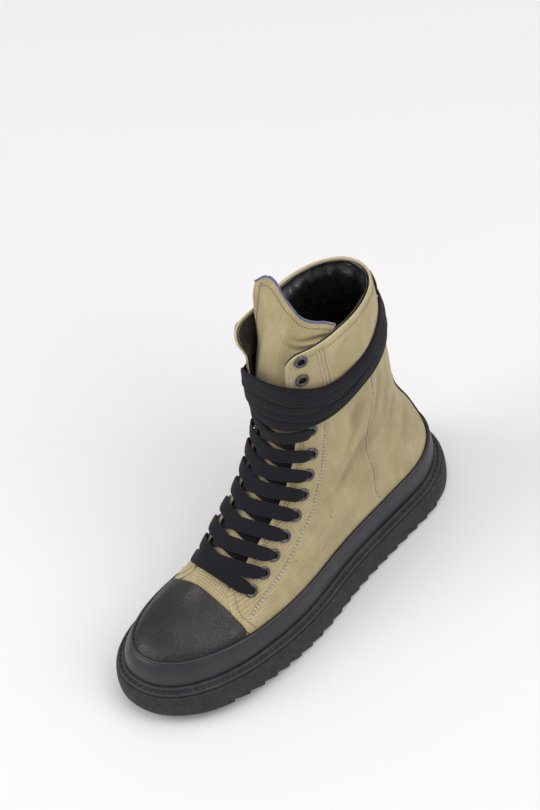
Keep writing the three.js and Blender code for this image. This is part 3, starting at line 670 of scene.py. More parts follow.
def piece(name, points, quads, material, uv=None, stands_for=(), marks=None):
    """A piece from millimetre points and faces. uv is per face corner, marks are values per point."""
    mesh = new_mesh(name, points, quads.tolist())
    mesh.polygons.foreach_set("use_smooth", np.ones(len(mesh.polygons), bool))
    if uv is not None:
        layer = mesh.uv_layers.new(name="UVMap")
        layer.data.foreach_set("uv", np.asarray(uv, np.float32).reshape(-1))
    write_marks(mesh, marks or {}, "FLOAT", "value")
    mesh.update()
    finished(name, mesh, material, stands_for)


def sheet(top, under):
    """A sheet with a rounded rim, from its two faces. Rows go up, columns go round."""
    rows, cols = top.shape[:2]
    count = rows * cols
    grid = np.arange(count).reshape(rows, cols)
    face = np.stack([grid[:-1, :-1], grid[:-1, 1:], grid[1:, 1:], grid[1:, :-1]], axis=-1).reshape(-1, 4)
    edge = np.concatenate([grid[0, :-1], grid[:-1, -1], grid[-1, :0:-1], grid[:0:-1, 0]])
    inside = np.concatenate([grid[1, :-1], grid[:-1, -2], grid[-2, :0:-1], grid[:0:-1, 1]])
    inside[0], inside[cols - 1] = grid[1, 1], grid[1, -2]
    inside[cols + rows - 2], inside[2 * cols + rows - 3] = grid[-2, -2], grid[-2, 1]
    above, below = top.reshape(-1, 3), under.reshape(-1, 3)
    high, low = above[edge], below[edge]
    thick = np.linalg.norm(high - low, axis=1, keepdims=True)
    middle = (high + low) / 2 + unit(high - above[inside]) * RIM_SWELL * thick
    ids = 2 * count + np.arange(len(edge))
    after, next_id = np.roll(edge, -1), np.roll(ids, -1)
    quads = [face, face[:, [0, 3, 2, 1]] + count,
             np.stack([after, edge, ids, next_id], axis=1),
             np.stack([next_id, ids, edge + count, after + count], axis=1)]
    sources = [np.arange(count), np.arange(count), edge]
    return np.concatenate([above, below, middle]), np.concatenate(quads), np.concatenate(sources)


def corner_map(uv, quads, sources):
    """The map at each face corner of a sheet."""
    return uv.reshape(-1, 2)[sources[quads]]


def ring(profiles):
    """A closed body swept round the shoe: profiles is (columns, points round the outline, 3)."""
    cols, size = profiles.shape[:2]
    grid = np.arange(cols * size).reshape(cols, size)
    across, along = np.roll(grid, -1, axis=1), np.roll(grid, -1, axis=0)
    both = np.roll(along, -1, axis=1)
    quads = np.stack([grid, across, both, along], axis=-1).reshape(-1, 4)
    return profiles.reshape(-1, 3), quads


def strip(centres, outs, widths, thickness, closed=False, ribs=0.0, samples=14):
    """A flat lace or tape along centres, which are the middle of its underside."""
    count = len(centres)
    if closed:
        along = np.roll(centres, -1, axis=0) - np.roll(centres, 1, axis=0)
    else:
        along = np.gradient(centres, axis=0)
    along = unit(along)
    side = unit(np.cross(along, outs))
    outs = unit(np.cross(side, along))
    angle = np.linspace(0, 2 * math.pi, samples, endpoint=False)
    px = np.sign(np.cos(angle)) * np.abs(np.cos(angle)) ** 0.42
    pz = np.sign(np.sin(angle)) * np.abs(np.sin(angle)) ** 0.75
    widths = np.broadcast_to(widths, (count,))
    thick = np.broadcast_to(thickness, (count,))
    crown = ribs * (1 - px ** 2)
    rise = 0.5 + 0.5 * pz + crown * (pz > 0)
    points = (centres[:, None] + side[:, None] * (px[None, :, None] * widths[:, None, None] / 2)
              + outs[:, None] * (rise[None, :, None] * thick[:, None, None]))
    lengths = lengths_along(centres)
    v = px[None, :] * widths[:, None] / 2 + 20
    uv = np.stack([np.broadcast_to(lengths[:, None], v.shape), v], axis=-1)
    grid = np.arange(count * samples).reshape(count, samples)
    ahead = np.roll(grid, -1, axis=0) if closed else grid[1:]
    here = grid if closed else grid[:-1]
    quads = np.stack([here, np.roll(here, -1, axis=1), np.roll(ahead, -1, axis=1), ahead], axis=-1)
    quads = quads.reshape(-1, 4)
    corners = uv.reshape(-1, 2)[quads].copy()
    if closed:
        wraps = (quads.max(axis=1) >= (count - 1) * samples) & (quads.min(axis=1) < samples)
        total = lengths[-1] + np.linalg.norm(centres[0] - centres[-1])
        corners[..., 0] += np.where(wraps[:, None] & (quads < samples), total, 0)
    else:
        half = samples // 2
        caps = []
        for row, flip in ((grid[0], False), (grid[-1], True)):
            for k in range(half - 1):
                quad = [row[k], row[k + 1], row[samples - 2 - k], row[samples - 1 - k]]
                caps.append(quad if flip else quad[::-1])
        caps = np.array(caps)
        quads = np.concatenate([quads, caps])
        corners = np.concatenate([corners, uv.reshape(-1, 2)[caps]])
    return points.reshape(-1, 3), quads[:, ::-1], corners[:, ::-1]


def joined(parts):
    """Several (points, quads, corners) as one."""
    points, quads, corners, start = [], [], [], 0
    for p, q, c in parts:
        points.append(p)
        quads.append(q + start)
        corners.append(c)
        start += len(p)
    return np.concatenate(points), np.concatenate(quads), np.concatenate(corners)


# Sole
def around(columns):
    return np.linspace(0, 2 * math.pi, columns, endpoint=False)


def sole_columns():
    """Turns down one side of the sole, toe to heel, and how deep the edge is notched at each."""
    toe = [(turn, 0.0) for turn in np.linspace(0, float(turn_at_x(FIRST_NOTCH)), 26, endpoint=False)]
    notches = []
    steps = 6
    for i in range(NOTCH_COUNT):
        x = FIRST_NOTCH - i * NOTCH_PITCH
        notches.append((float(turn_at_x(x)), 0.0))
        for k in range(steps):
            share = k / steps
            notches.append((float(turn_at_x(x - NOTCH_FLAT - share * (NOTCH_PITCH - NOTCH_FLAT))), 1 - share))
    heel_turn = float(turn_at_x(FIRST_NOTCH - NOTCH_COUNT * NOTCH_PITCH))
    heel = [(turn, 0.0) for turn in np.linspace(heel_turn, math.pi, 22)]
    return np.array(toe + notches + heel)


def tread_depth(x, y):
    """Grooves under the sole that run inwards from the side notches, bent like chevrons."""
    across = np.abs(y + toe_turn(x))
    saw = np.mod(FIRST_NOTCH - NOTCH_FLAT - x + 0.45 * across, NOTCH_PITCH)
    bar = smooth((3.2 - np.abs(saw - 1.6)) / 0.9 - 1.6)
    rim = smooth((across - 2.2) / 1.2)
    return TREAD_DEPTH * bar * rim


def outsole():
    half = sole_columns()
    turns = np.concatenate([half[:, 0], -half[-2:0:-1, 0]])
    notch = np.concatenate([half[:, 1], half[-2:0:-1, 1]])
    x = last(turns, 0)[:, 0]
    share = x / LAST_LENGTH
    lift = spring(x)
    arch = ARCH_RISE * np.exp(-(((share + 0.11) / 0.09) ** 4))
    toe = TOE_BEVEL * smooth((share - 0.4) / 0.08)
    edge = lift + notch * NOTCH_DEPTH + HEEL_BEVEL * smooth((-share - 0.43) / 0.08) + 0.6 * toe
    top = OUTSOLE_HEIGHT + lift
    outer = OUTSOLE_MARGIN
    rows = [(PLATFORM_MARGIN, FOOTBED + lift), (PLATFORM_MARGIN, top), (outer - 3.4, top)]
    for angle in np.linspace(0, 1, 5) * math.pi / 2:
        rows.append((outer - 2.6 + 1.5 * math.sin(angle), top - 1.1 * (1 - math.cos(angle))))
    for t in np.linspace(0.1, 0.93, 14):
        swell = SIDEWALL_BULGE * (4 * t * (1 - t)) ** 0.8
        rows.append((outer - 1.1 + 0.8 * t + swell, lerp(top - 1.1, edge, t)))
    rows += [(outer - 0.35, lerp(top, edge, 0.985)), (outer - 0.9, edge)]
    rows += [(outer - 4, edge), (outer - 8, edge), (outer - NOTCH_REACH, edge)]
    rows.append((outer - NOTCH_REACH - 0.6, lift + arch))
    side = np.stack([outline(turns, margin, z) for margin, z in rows], axis=1)
    points, quads = ring(side)
    size = len(rows)
    count, columns = len(turns), len(half)
    keep = ~((quads % size == 0).any(axis=1) & (quads % size == size - 1).any(axis=1))
    quads = quads[keep]
    # Footbed and tread: strips across the shoe between the two sides
    pieces, extra = [quads], [points]
    start = len(points)
    for row, parts, upwards in ((0, 2, True), (size - 1, 46, False)):
        left = np.arange(columns) * size + row
        right = ((count - np.arange(columns)) % count) * size + row
        across = np.linspace(0, 1, parts + 1)[1:-1]
        inner = lerp(points[left][:, None], points[right][:, None], across[None, :, None])[1:-1]
        if not upwards:
            inner[..., 2] += tread_depth(inner[..., 0], inner[..., 1])
        ids = start + np.arange((columns - 2) * (parts - 1)).reshape(columns - 2, parts - 1)
        start += ids.size
        extra.append(inner.reshape(-1, 3))
        grid = np.concatenate([left[1:-1, None], ids, right[1:-1, None]], axis=1)
        a, b, c, d = grid[:-1, :-1], grid[1:, :-1], grid[1:, 1:], grid[:-1, 1:]
        body = np.stack([a, b, c, d] if upwards else [a, d, c, b], axis=-1).reshape(-1, 4)
        pieces.append(body)
        ends = []
        for end, line in ((left[0], grid[0]), (left[-1], grid[-1])):
            flip = (end == left[0]) == upwards
            for k in range(0, parts, 2):
                a, b, c = line[k], line[min(k + 1, parts)], line[min(k + 2, parts)]
                ends.append([end, a, b, c] if flip else [end, c, b, a])
        pieces.append(np.array(ends))
    piece("outsole_rubber", np.concatenate(extra), np.concatenate(pieces), SIDEWALL,
          stands_for=("outsole",))


def welt():
    turns = around(380)
    start = PLATFORM_MARGIN + 0.5
    height = WELT_HEIGHT - 0.5
    shaped = [(0.0, 0.0), (0.34, -0.04), (0.46, 0.03), (0.53, 0.22), (0.57, 0.44), (0.64, 0.5),
              (0.78, 0.49), (0.9, 0.5), (0.98, 0.62), (1.0, 0.78), (0.96, 0.95), (0.9, 1.0)]
    profile = [(0.0, 1.0)] + through(shaped, 30).tolist()
    top = FOOTBED + spring(last(turns, 0)[:, 0])
    rows = [outline(turns, lerp(start, WELT_MARGIN, margin), top - drop * height)
            for margin, drop in profile]
    points, quads = ring(np.stack(rows, axis=1))
    piece("welt_strip", points, quads, WELT_RUBBER, stands_for=("welt",))
    fine = around(1600)
    top = FOOTBED + spring(last(fine, 0)[:, 0])
    seam = outline(fine, lerp(start, WELT_MARGIN, 0.72), top - 0.47 * height)
    _, places = even(np.concatenate([seam, seam[:1]]), 4.6)
    return places[:-1], np.tile([0, 0, 1.0], (len(places) - 1, 1))


def foxing():
    turns = around(400)
    base = QUARTER_STEP + 0.5
    shaped = [(0.0, 0.45, 0), (0.12, 0.95, 0), (0.35, 1.25, 0), (0.62, 1.28, 0), (0.84, 0.98, 0),
              (0.895, 0.84, 0), (0.915, 0.84, 0.6), (0.945, 0.8, 1.05), (0.98, 0.66, 0.95), (1.0, 0.4, 0.5)]
    profile = [(1.0, 0.0, 0.0), (0.0, 0.0, 0.0)] + through(shaped, 34).tolist()
    rows = [skin(turns, FOXING_LEVEL * level, base + FOXING_THICKNESS * swell + FOXING_RIM * rim)
            for level, swell, rim in profile[::-1]]
    points, quads = ring(np.stack(rows, axis=1))
    piece("foxing_band", points, quads, BAND, stands_for=("foxing",))


# Creases in the canvas: two places on the surface, how wide and how deep, negative for a ridge
CREASES = [
    (1.55, 0.80, 1.33, 0.70, 4.0, 1.1),
    (1.66, 0.80, 1.30, 0.61, 5.5, 1.2),
    (1.80, 0.66, 1.42, 0.50, 4.5, 1.5),
    (2.05, 0.82, 1.80, 0.68, 4.5, 1.2),
    (1.95, 0.62, 1.66, 0.52, 5.0, 0.9),
    (1.45, 0.76, 1.20, 0.62, 5.0, -0.9),
    (1.88, 0.80, 1.62, 0.70, 4.5, -0.9),
    (2.30, 0.80, 2.05, 0.62, 6.0, 1.0),
    (2.45, 0.66, 2.10, 0.52, 5.0, 0.9),
    (1.20, 0.52, 1.45, 0.40, 4.5, 0.8),
    (1.05, 0.46, 1.40, 0.34, 4.0, 0.6),
    (2.70, 0.50, 2.25, 0.38, 6.0, 0.8),
    (1.30, 0.93, 1.75, 0.955, 3.5, 0.5),
    (1.00, 0.95, 1.25, 0.93, 3.0, 0.5),
    (-1.40, 0.78, -1.20, 0.62, 4.5, 1.2),
    (-1.75, 0.80, -1.45, 0.60, 5.5, 1.3),
    (-2.10, 0.78, -1.75, 0.58, 5.0, 1.1),
    (-1.95, 0.60, -1.45, 0.47, 4.5, 1.4),
    (-2.45, 0.74, -2.15, 0.54, 5.0, 1.0),
    (-1.60, 0.50, -1.20, 0.40, 4.0, 0.9),
    (-1.55, 0.72, -1.30, 0.56, 5.0, -0.9),
    (-2.60, 0.52, -2.20, 0.40, 6.0, 0.8),
    (-1.35, 0.94, -1.80, 0.96, 3.5, 0.5),
    (2.85, 0.44, 3.40, 0.43, 4.0, 1.0),
    (2.90, 0.55, 3.35, 0.56, 4.5, 0.9),
]

# Rows of stitches and seams, as places on the outer side. The inner side mirrors them
CHAIN_ROW = [(0.909, 0.20), (0.955, 0.291), (1.06, 0.39), (1.13, 0.48), (1.10, 0.566), (1.04, 0.635),
             (0.97, 0.71), (0.955, 0.775), (1.0, 0.83)]
SIDE_SEAM = [(2.046, 0.118), (1.96, 0.27), (1.898, 0.425), (1.779, 0.60), (1.745, 0.72), (1.83, 0.80),
             (1.88, 0.86)]


def on_surface(row, samples=160, side=1):
    line = through(row, samples)
    return side * line[:, 0], line[:, 1]


def off_line(points, line):
    """Distance of each point to the nearest of a dense line of points."""
    best = np.full(len(points), 1e9)
    for start in range(0, len(line), 40):
        chunk = line[start:start + 40]
        best = np.minimum(best, np.min(np.linalg.norm(points[:, None] - chunk[None], axis=2), axis=1))
    return best


def crease_depth(points, side):
    """How far the creases of one side push the cloth in, in millimetres."""
    depth = np.zeros(len(points))
    for turn_a, level_a, turn_b, level_b, width, deep in CREASES:
        if min(turn_a, turn_b) * side < 0 and not (side < 0 and turn_b > math.pi):
            continue
        s = np.linspace(0, 1, 24)
        bend = 0.02 * np.sin(s * math.pi)
        line = last(lerp(turn_a, turn_b, s), lerp(level_a, level_b, s) + bend)
        gaps = np.linalg.norm(points[:, None] - line[None], axis=2)
        near = np.argmin(gaps, axis=1)
        taper = np.sin(np.clip(s[near] * 0.9 + 0.05, 0, 1) * math.pi) ** 0.7
        depth += deep * taper * np.exp(-((gaps[np.arange(len(points)), near] / width) ** 2))
    return depth


# The back seam lies a little to the outer side
BACK_SEAM = 2.84
CUFF_LEVEL = float(1 - level_step(math.pi / 2, 0.9, CUFF_HEIGHT))
CORNER_LEVELS = float(level_step(0.6, 0.95, FLAP_CORNER))


def flap_level(turn, level):
    """The level lowered towards each flap's top corner, which rounds it."""
    edge = quarter_edge(level)
    from_edge = (np.abs(folded(turn)) - edge) / (2 * math.pi - 2 * edge) * 2 * math.pi
    near = np.clip(1 - from_edge / 0.42, 0, 1) ** 2.6
    lowered = level - CORNER_LEVELS * near * (level - CUFF_LEVEL) / (1 - CUFF_LEVEL)
    return np.where(level > CUFF_LEVEL, lowered, level)


def cuff_level(turn):
    """Level of the cuff's lower seam."""
    return np.interp(np.abs(folded(turn)), [1.2, 1.45, 1.77, 2.05, 3.2], [0.885, 0.868, 0.858, 0.858, 0.86])


def soft_noise(points, pitch, seed):
    """A smooth random field from a few waves, about -1 to 1."""
    random = np.random.default_rng(seed)
    total = np.zeros(points.shape[:-1])
    for _ in range(7):
        direction = unit(random.normal(size=3))
        length = pitch * random.uniform(0.7, 1.5)
        total += np.sin(points @ direction * 2 * math.pi / length + random.uniform(0, 6.3))
    return total / 3.2


def quarter_height(turn, level, side):
    """Height of the canvas over the last, and how much painted shade its creases get."""
    base = last(turn, level).reshape(-1, 3)
    depth = crease_depth(base, side)
    shaft = smooth((level.ravel() - 0.2) / 0.25)
    free = smooth((level.ravel() - 0.125) / 0.05)
    height = QUARTER_STEP + free * (-depth + 0.22 * soft_noise(base, 34, 5) * (0.4 + shaft))
    for row, width, deep in ((CHAIN_ROW, 1.5, 0.45), (SIDE_SEAM, 2.0, 0.5)):
        turns, levels = on_surface(row, side=side)
        line = last(turns, levels)
        gap = off_line(base, line)
        pucker = 1 + 0.5 * np.sin(base[:, 2] * 2.1) * np.sin(base[:, 0] * 1.7)
        height -= free * deep * pucker * np.exp(-((gap / width) ** 2))
        height += free * 0.3 * np.exp(-(((gap - 3.5) / 2.2) ** 2))
    seam = cuff_level(turn).ravel()
    cuff = smooth((level.ravel() - seam) / 0.008)
    behind = smooth(((np.abs(folded(turn)) - quarter_edge(level)).ravel() - 0.66) / 0.08)
    swell = np.sin(np.clip((level.ravel() - seam) / (1 - seam), 0, 1) * math.pi)
    height += cuff * behind * (0.35 + 0.5 * swell)
    height -= 0.5 * behind * np.exp(-(((level.ravel() - seam) / 0.006) ** 2))
    height = np.where(height < 0, np.tanh(height), height)
    # share of painted shade for the creases, where the cloth is pushed in
    crease_shade_share = np.clip(np.abs(depth) / 1.3, 0, 1) * (depth > 0)
    return height.reshape(turn.shape), crease_shade_share.reshape(turn.shape)


def quarter_grid(side, rows, cols, lowest=0.045, crowd=1.0):
    level = lowest + (1 - lowest) * (1 - (1 - np.linspace(0, 1, rows)[:, None]) ** crowd)
    edge = quarter_edge(level)
    share = np.linspace(0, 1, cols)[None, :] ** 1.15
    turn = lerp(edge, BACK_SEAM if side > 0 else 2 * math.pi - BACK_SEAM, share)
    level = np.broadcast_to(level, turn.shape)
    if side < 0:
        turn, level = -turn[:, ::-1], level[:, ::-1]
    return turn, flap_level(turn, level)


def cloth_map(points):
    """Length round the shoe from a line up the side, and height, which the weave follows."""
    anchor_x = -65.0
    steps = np.linalg.norm(np.diff(points[..., :2], axis=1), axis=2)
    lengths = np.concatenate([np.zeros((len(points), 1)), np.cumsum(steps, axis=1)], axis=1)
    nearest = np.argmin(np.abs(points[..., 0] - anchor_x), axis=1)
    along = lengths - lengths[np.arange(len(points)), nearest][:, None]
    up = points[..., 2]
    lean = math.radians(9)
    return np.stack([along * math.cos(lean) + up * math.sin(lean),
                     up * math.cos(lean) - along * math.sin(lean)], axis=-1)


def edge_gap(points, side):
    """Distance from the panel's open front and top edges."""
    if side > 0:
        rim = np.concatenate([points[:, 0], points[-1]])
    else:
        rim = np.concatenate([points[-1], points[::-1, -1]])
    return off_line(points.reshape(-1, 3), even(rim, 1.5)[1])


def quarter(side, name):
    turn, level = quarter_grid(side, 168, 190)
    height, crease_shade_share = quarter_height(turn, level, side)
    away = flare(turn, level)
    top = skin(turn, level, height + away)
    under = skin(turn, level, np.minimum(height - 0.7, -0.6) + away)
    gap = edge_gap(top, side)
    patches = np.clip(soft_noise(top.reshape(-1, 3), 12, 3), 0, 1)
    # paler along the open front and top edges, and in soft patches
    paling = 0.8 * np.exp(-((gap / 0.9) ** 2)) + 0.25 * patches ** 2
    points, quads, sources = sheet(top, under)
    marks = {"crease_shade": crease_shade_share.ravel()[sources], "paling": np.clip(paling, 0, 1)[sources]}
    piece(name, points, quads, CANVAS, corner_map(cloth_map(top), quads, sources),
          ("upper",), marks)


def vamp():
    level = np.linspace(0.05, 0.40, 90)[:, None]
    across = np.linspace(-1, 1, 110)[None, :]
    capped = np.minimum(level, THROAT_LEVEL)
    edge = np.where(level < THROAT_LEVEL, quarter_edge(capped) + 0.06, quarter_edge(level) + 0.04)
    turn = across * edge
    at = level + 0.075 * (capped / THROAT_LEVEL) ** 2 * (1 - across ** 2)
    base = last(turn, at)
    sink = -2.3 * smooth((level - 0.325) / 0.05)
    crown = 0.25 * soft_noise(base, 26, 11) * smooth((at - 0.13) / 0.05)
    for turn_a, level_a, turn_b, level_b, width, deep in ((0.1, 0.27, 0.9, 0.20, 3.0, 0.5),
                                                        (-0.2, 0.33, -0.9, 0.24, 3.0, 0.8)):
        line = last(np.linspace(turn_a, turn_b, 24), np.linspace(level_a, level_b, 24))
        gap = off_line(base.reshape(-1, 3), line).reshape(turn.shape)
        crown = crown - deep * np.exp(-((gap / width) ** 2))
    sides = 0.3 * smooth((np.abs(across) - 0.88) / 0.08)
    top = skin(turn, at, sink + crown - sides)
    under = skin(turn, at, sink + crown - sides - 1.4)
    points, quads, sources = sheet(top, under)
    uv = np.stack([top[..., 0] * 1.15, top[..., 1]], axis=-1)
    # painted shade in the vamp's sunken creases
    marks = {"crease_shade": np.clip(-crown, 0, 1).ravel()[sources], "paling": np.zeros(len(points))}
    corners = corner_map(uv, quads, sources)
    piece("vamp_canvas", points, quads, CANVAS, corners, ("upper",), marks)


def lining():
    """Leather inside the quarters, its wrinkles running down from the collar."""
    bodies = []
    for side in (1, -1):
        turn, level = quarter_grid(side, 110, 130, 0.03, 1.6)
        base = last(turn, level)
        waves = 0.5 * soft_noise(base * [1, 1, 0.35], 13, 21) * smooth((level - 0.55) / 0.3)
        deep = (1 - level) * SHAFT_HEIGHT
        roll = smooth(deep / 6.5) * (1 - smooth((deep - 9) / 28))
        roll = roll * smooth((np.abs(turn) - 0.8) / 0.6)
        waves -= roll * (4.8 + 1.1 * soft_noise(base * [1, 1, 0.15], 9, 22))
        waves += 0.9 * np.exp(-(((turn - 2.7) / 0.05) ** 2)) * smooth((level - 0.6) / 0.3)
        away = flare(turn, level)
        top = skin(turn, level, away - 1.75)
        under = skin(turn, level, away - WALL - 0.35 + np.minimum(waves, 0.3))
        points, quads, sources = sheet(top, under)
        bodies.append((points, quads, corner_map(cloth_map(top), quads, sources)))
    points, quads, corners = joined(bodies)
    piece("leather_lining", points, quads, LINING, corners, ("upper",))


def insole():
    turns = around(160)
    depth = WALL + 1.5
    thick = 4
    rows = []
    floor = last(turns, 0)[:, 2]
    band = last(turns, FOXING_LEVEL)[:, 2] - floor
    for share, drop in ((0, 0), (0, 0.8), (0.15, 0.95)):
        edge = skin(turns, FOXING_LEVEL * 1.7 * thick * drop / band, -depth)
        inward = outline(turns, -depth - thick * share, floor)
        edge[:, :2] = lerp(edge[:, :2], inward[:, :2], share)
        edge[:, 2] = floor + thick * drop
        rows.append(edge)
    centre = last_place(turns, 0)[2]
    for inset in (0.25, 0.5, 0.75, 0.97):
        rows.append(np.stack([edge[:, 0], lerp(edge[:, 1], centre, inset), edge[:, 2] + 0.05], axis=1))
    underside = [np.stack([r[:, 0], r[:, 1], floor], axis=1) for r in rows[:2:-1]]
    points, quads = ring(np.stack((rows + underside)[::-1], axis=1))
    piece("insole_leather", points, quads, LINING, stands_for=("insole",))


def toe_cap():
    rear = LAST_LENGTH * RINGS[0, 0] - CAP_LENGTH
    grid = np.linspace(0, 1.8, 1800)
    widest = grid[np.argmax(last(grid, FOXING_LEVEL)[:, 0] <= rear + 3)]
    rows, cols = 84, 150
    turn = np.linspace(-widest, widest, cols)[None, :]
    low = FOXING_LEVEL - 0.006
    high = np.maximum(level_at_x(turn, rear), low + 0.012)
    level = lerp(low, high, np.linspace(0, 1, rows)[:, None])
    turn = np.broadcast_to(turn, level.shape)
    base = last(turn, level)
    random = np.random.default_rng(4)
    relief = 0.12 * soft_noise(base, 30, 8)
    # Fine wrinkles that run up from the foxing and fade
    up = (level - low) / np.maximum(high - low, 1e-6)
    fade = np.exp(-((base[..., 2] - last(turn, np.full_like(turn, FOXING_LEVEL))[..., 2]) / 7.0))
    phase = turn * 95 + 2.2 * np.sin(turn * 23) + 1.5 * soft_noise(base, 9, 31)
    relief += 0.09 * np.sin(phase) * fade * smooth(up * 8)
    for _ in range(26):
        place_turn = random.uniform(-0.8, 1.0)
        place_level = random.uniform(0.14, 0.26)
        swing = random.uniform(-0.35, 0.35)
        a = last(place_turn, place_level)
        b = last(place_turn + swing, place_level + random.uniform(-0.03, 0.03))
        line = a + (b - a) * np.linspace(0, 1, 16)[:, None]
        gap = off_line(base.reshape(-1, 3), line).reshape(level.shape)
        relief -= 0.07 * np.exp(-((gap / 1.0) ** 2))
    edge = np.exp(-(((1 - up) * 60) ** 2) / 8)
    top = skin(turn, level, 0.85 + CAP_THICKNESS + relief - 0.5 * edge)
    under = skin(turn, level, 0.75)
    points, quads, sources = sheet(top, under)
    uv = np.stack([top[..., 0], top[..., 1]], axis=-1)
    corners = corner_map(uv, quads, sources)
    piece("toe_cap_leather", points, quads, LEATHER, corners, ("toe_cap",))


# Tongue
TONGUE_START, TONGUE_FREE = THROAT_LEVEL - 0.035, 0.86


def hermite(a, slope_a, b, slope_b, t):
    t2, t3 = t * t, t ** 3
    return (a * (2 * t3 - 3 * t2 + 1) + slope_a * (t3 - 2 * t2 + t) + b * (3 * t2 - 2 * t3)
            + slope_b * (t3 - t2))


# The tongue's free edge from the inner to the outer side: shares of its rise and lean
TONGUE_EDGE = np.array([
    [0.9, 0.56], [1, 0.64], [0.99, 0.675], [0.84, 0.68], [0.56, 0.68], [0.36, 0.69],
    [0.14, 0.72], [0.04, 0.77], [0.015, 0.83], [0.005, 0.9], [-0.06, 0.97]])


def tongue_top(across):
    base = last(np.array(0.0), np.array(1.0))
    fine = through(TONGUE_EDGE, 201)
    rise = np.interp(across, np.linspace(-1, 1, 201), fine[:, 0])
    lean = np.interp(across, np.linspace(-1, 1, 201), fine[:, 1])
    return np.stack([base[0] - TONGUE_LEAN * lean,
                     base[1] + TONGUE_SHIFT + across * TONGUE_TOP_WIDTH / 2,
                     base[2] + TONGUE_RISE * rise], axis=-1)


def tongue_surface(rise, across):
    """The tongue's face: rise 0 to 1 follows the throat, 1 to 2 stands free and leans back."""
    rise, across = np.broadcast_arrays(rise, across)
    follow = np.clip(rise, 0, 1)
    level = lerp(TONGUE_START, TONGUE_FREE, follow)
    edge = turn_at_width(level, TONGUE_WIDTH / 2)
    bow = 0.075 * (1 - across ** 2) * (1 - follow)
    height = -(WALL + 1.0)
    crown = 2.3 * smooth(1 - (across / 0.52) ** 2)
    crown = crown * smooth(follow / 0.12) * (1 - smooth((rise - 0.9) / 0.2))
    low = skin(across * edge, level + bow, height + crown)
    edge = turn_at_width(np.full_like(level, TONGUE_FREE), TONGUE_WIDTH / 2) * across
    start = skin(edge, TONGUE_FREE, height)
    end = tongue_top(across)
    reach = np.linalg.norm(end - start, axis=-1, keepdims=True)
    slope = unit(start - skin(edge, TONGUE_FREE - 0.05, height)) * 0.7 * reach
    t = np.clip(rise - 1, 0, 1)[..., None]
    free = hermite(start, slope, end, unit(np.array([-0.58, 0, 0.82])) * 0.64 * reach, t)
    return np.where((rise <= 1)[..., None], low, free)


# Folds of the tongue: two places (rise, across), how wide and how deep, negative for a ridge
TONGUE_FOLDS = [
    (1.80, 1.0, 1.715, 0.15, 1.7, 2.4),
    (1.70, 1.0, 1.64, 0.05, 1.8, 2.6),
    (1.76, 1.0, 1.68, 0.3, 1.5, -1.0),
    (1.62, 1.0, 1.58, 0.2, 2.2, -1.0),
    (1.55, 1.0, 1.5, 0.2, 2.2, 1.6),
    (1.25, -0.5, 1.9, -0.62, 5.0, 0.7),
    (1.3, 0.1, 1.8, -0.2, 8.0, -0.9),
]


def tongue():
    rise = np.linspace(0, 2, 130)[:, None]
    across = np.linspace(-1, 1, 96)[None, :]
    face = tongue_surface(rise, across)
    along = np.gradient(face, axis=1)
    up = np.gradient(face, axis=0)
    normal = unit(np.cross(along, up))
    depth = np.zeros(face.shape[:2])
    for rise_a, across_a, rise_b, across_b, width, deep in TONGUE_FOLDS:
        s = np.linspace(0, 1, 24)
        line = tongue_surface(lerp(rise_a, rise_b, s), lerp(across_a, across_b, s))
        gaps = np.linalg.norm(face[:, :, None] - line[None, None], axis=3)
        near = np.argmin(gaps, axis=2)
        gap = np.min(gaps, axis=2)
        depth += deep * np.cos(s[near] * 1.4) * np.exp(-((gap / width) ** 2))
    free = smooth((rise - 1.05) / 0.2)
    depth = depth * free + 0.3 * soft_noise(face, 22, 41) * free
    hem = 0.35 * (smooth((across + 0.86) / 0.03) - 1) * free
    top = face - normal * (depth + hem)[..., None]
    under = top - normal * TONGUE_THICKNESS
    points, quads, sources = sheet(top, under)
    lengths = lengths_along(face[:, 48])
    uv = np.stack([np.broadcast_to(across * TONGUE_WIDTH / 2, top.shape[:2]),
                   np.broadcast_to(lengths[:, None], top.shape[:2])], axis=-1)
    # paler along the inner side's hem
    paling = np.exp(-(((across + 0.86) * 30 / 0.8) ** 2)) * free * 0.8
    # painted shade in the tongue's folds
    marks = {"crease_shade": np.clip(depth / 1.5, 0, 1).ravel()[sources],
             "paling": np.broadcast_to(paling, top.shape[:2]).ravel()[sources]}
    corners = corner_map(uv, quads, sources)
    piece("tongue_canvas", points, quads, CANVAS, corners, ("tongue",), marks)
    # The raw woven edge stands a little above the tongue's top
    share = np.linspace(-1, 1, 140)
    line = tongue_surface(np.full_like(share, 2.0), share) - normal[-1, 48] * TONGUE_THICKNESS * 0.5
    rim = top[-1] * 0.5 + under[-1] * 0.5
    outs = unit(read_rows(share, across[0], up[-1]))
    fine = read_rows(share, across[0], rim) - outs * 0.8
    fray = 1 + 0.12 * soft_noise(line, 2.4, 51)
    points, quads, corners = strip(fine, outs, TONGUE_THICKNESS + 0.3, 1.5 * fray, samples=12)
    piece("tongue_selvedge", points, quads, SELVEDGE, corners, ("tongue",))
    return top, normal


# Eyelets
def eyelet_turn(level, side):
    share = np.clip((np.asarray(level, float) - THROAT_LEVEL) / (1 - THROAT_LEVEL), 0, 1)
    return side * turn_at_width(level, lerp(EYELET_SPREAD, EYELET_SPREAD_TOP, share) / 2)


def flared(turn, level, height):
    return skin(turn, level, height + flare(turn, level))


def shaft_normal(turn, level):
    along = flared(turn + 0.02, level, 0.0) - flared(turn - 0.02, level, 0.0)
    up = flared(turn, level + 0.008, 0.0) - flared(turn, level - 0.008, 0.0)
    return unit(np.cross(along, up))


def eyelet_levels():
    first = THROAT_LEVEL - 0.017
    levels = np.linspace(first, 1, 201)
    turns = eyelet_turn(levels, 1)
    lengths = lengths_along(flared(turns, levels, 0.0))
    reach = np.minimum(np.array(EYELET_SHARES) * THROAT_LENGTH, lengths[-1])
    return levels[np.searchsorted(lengths, reach)]


EYELET_LEVELS = eyelet_levels()


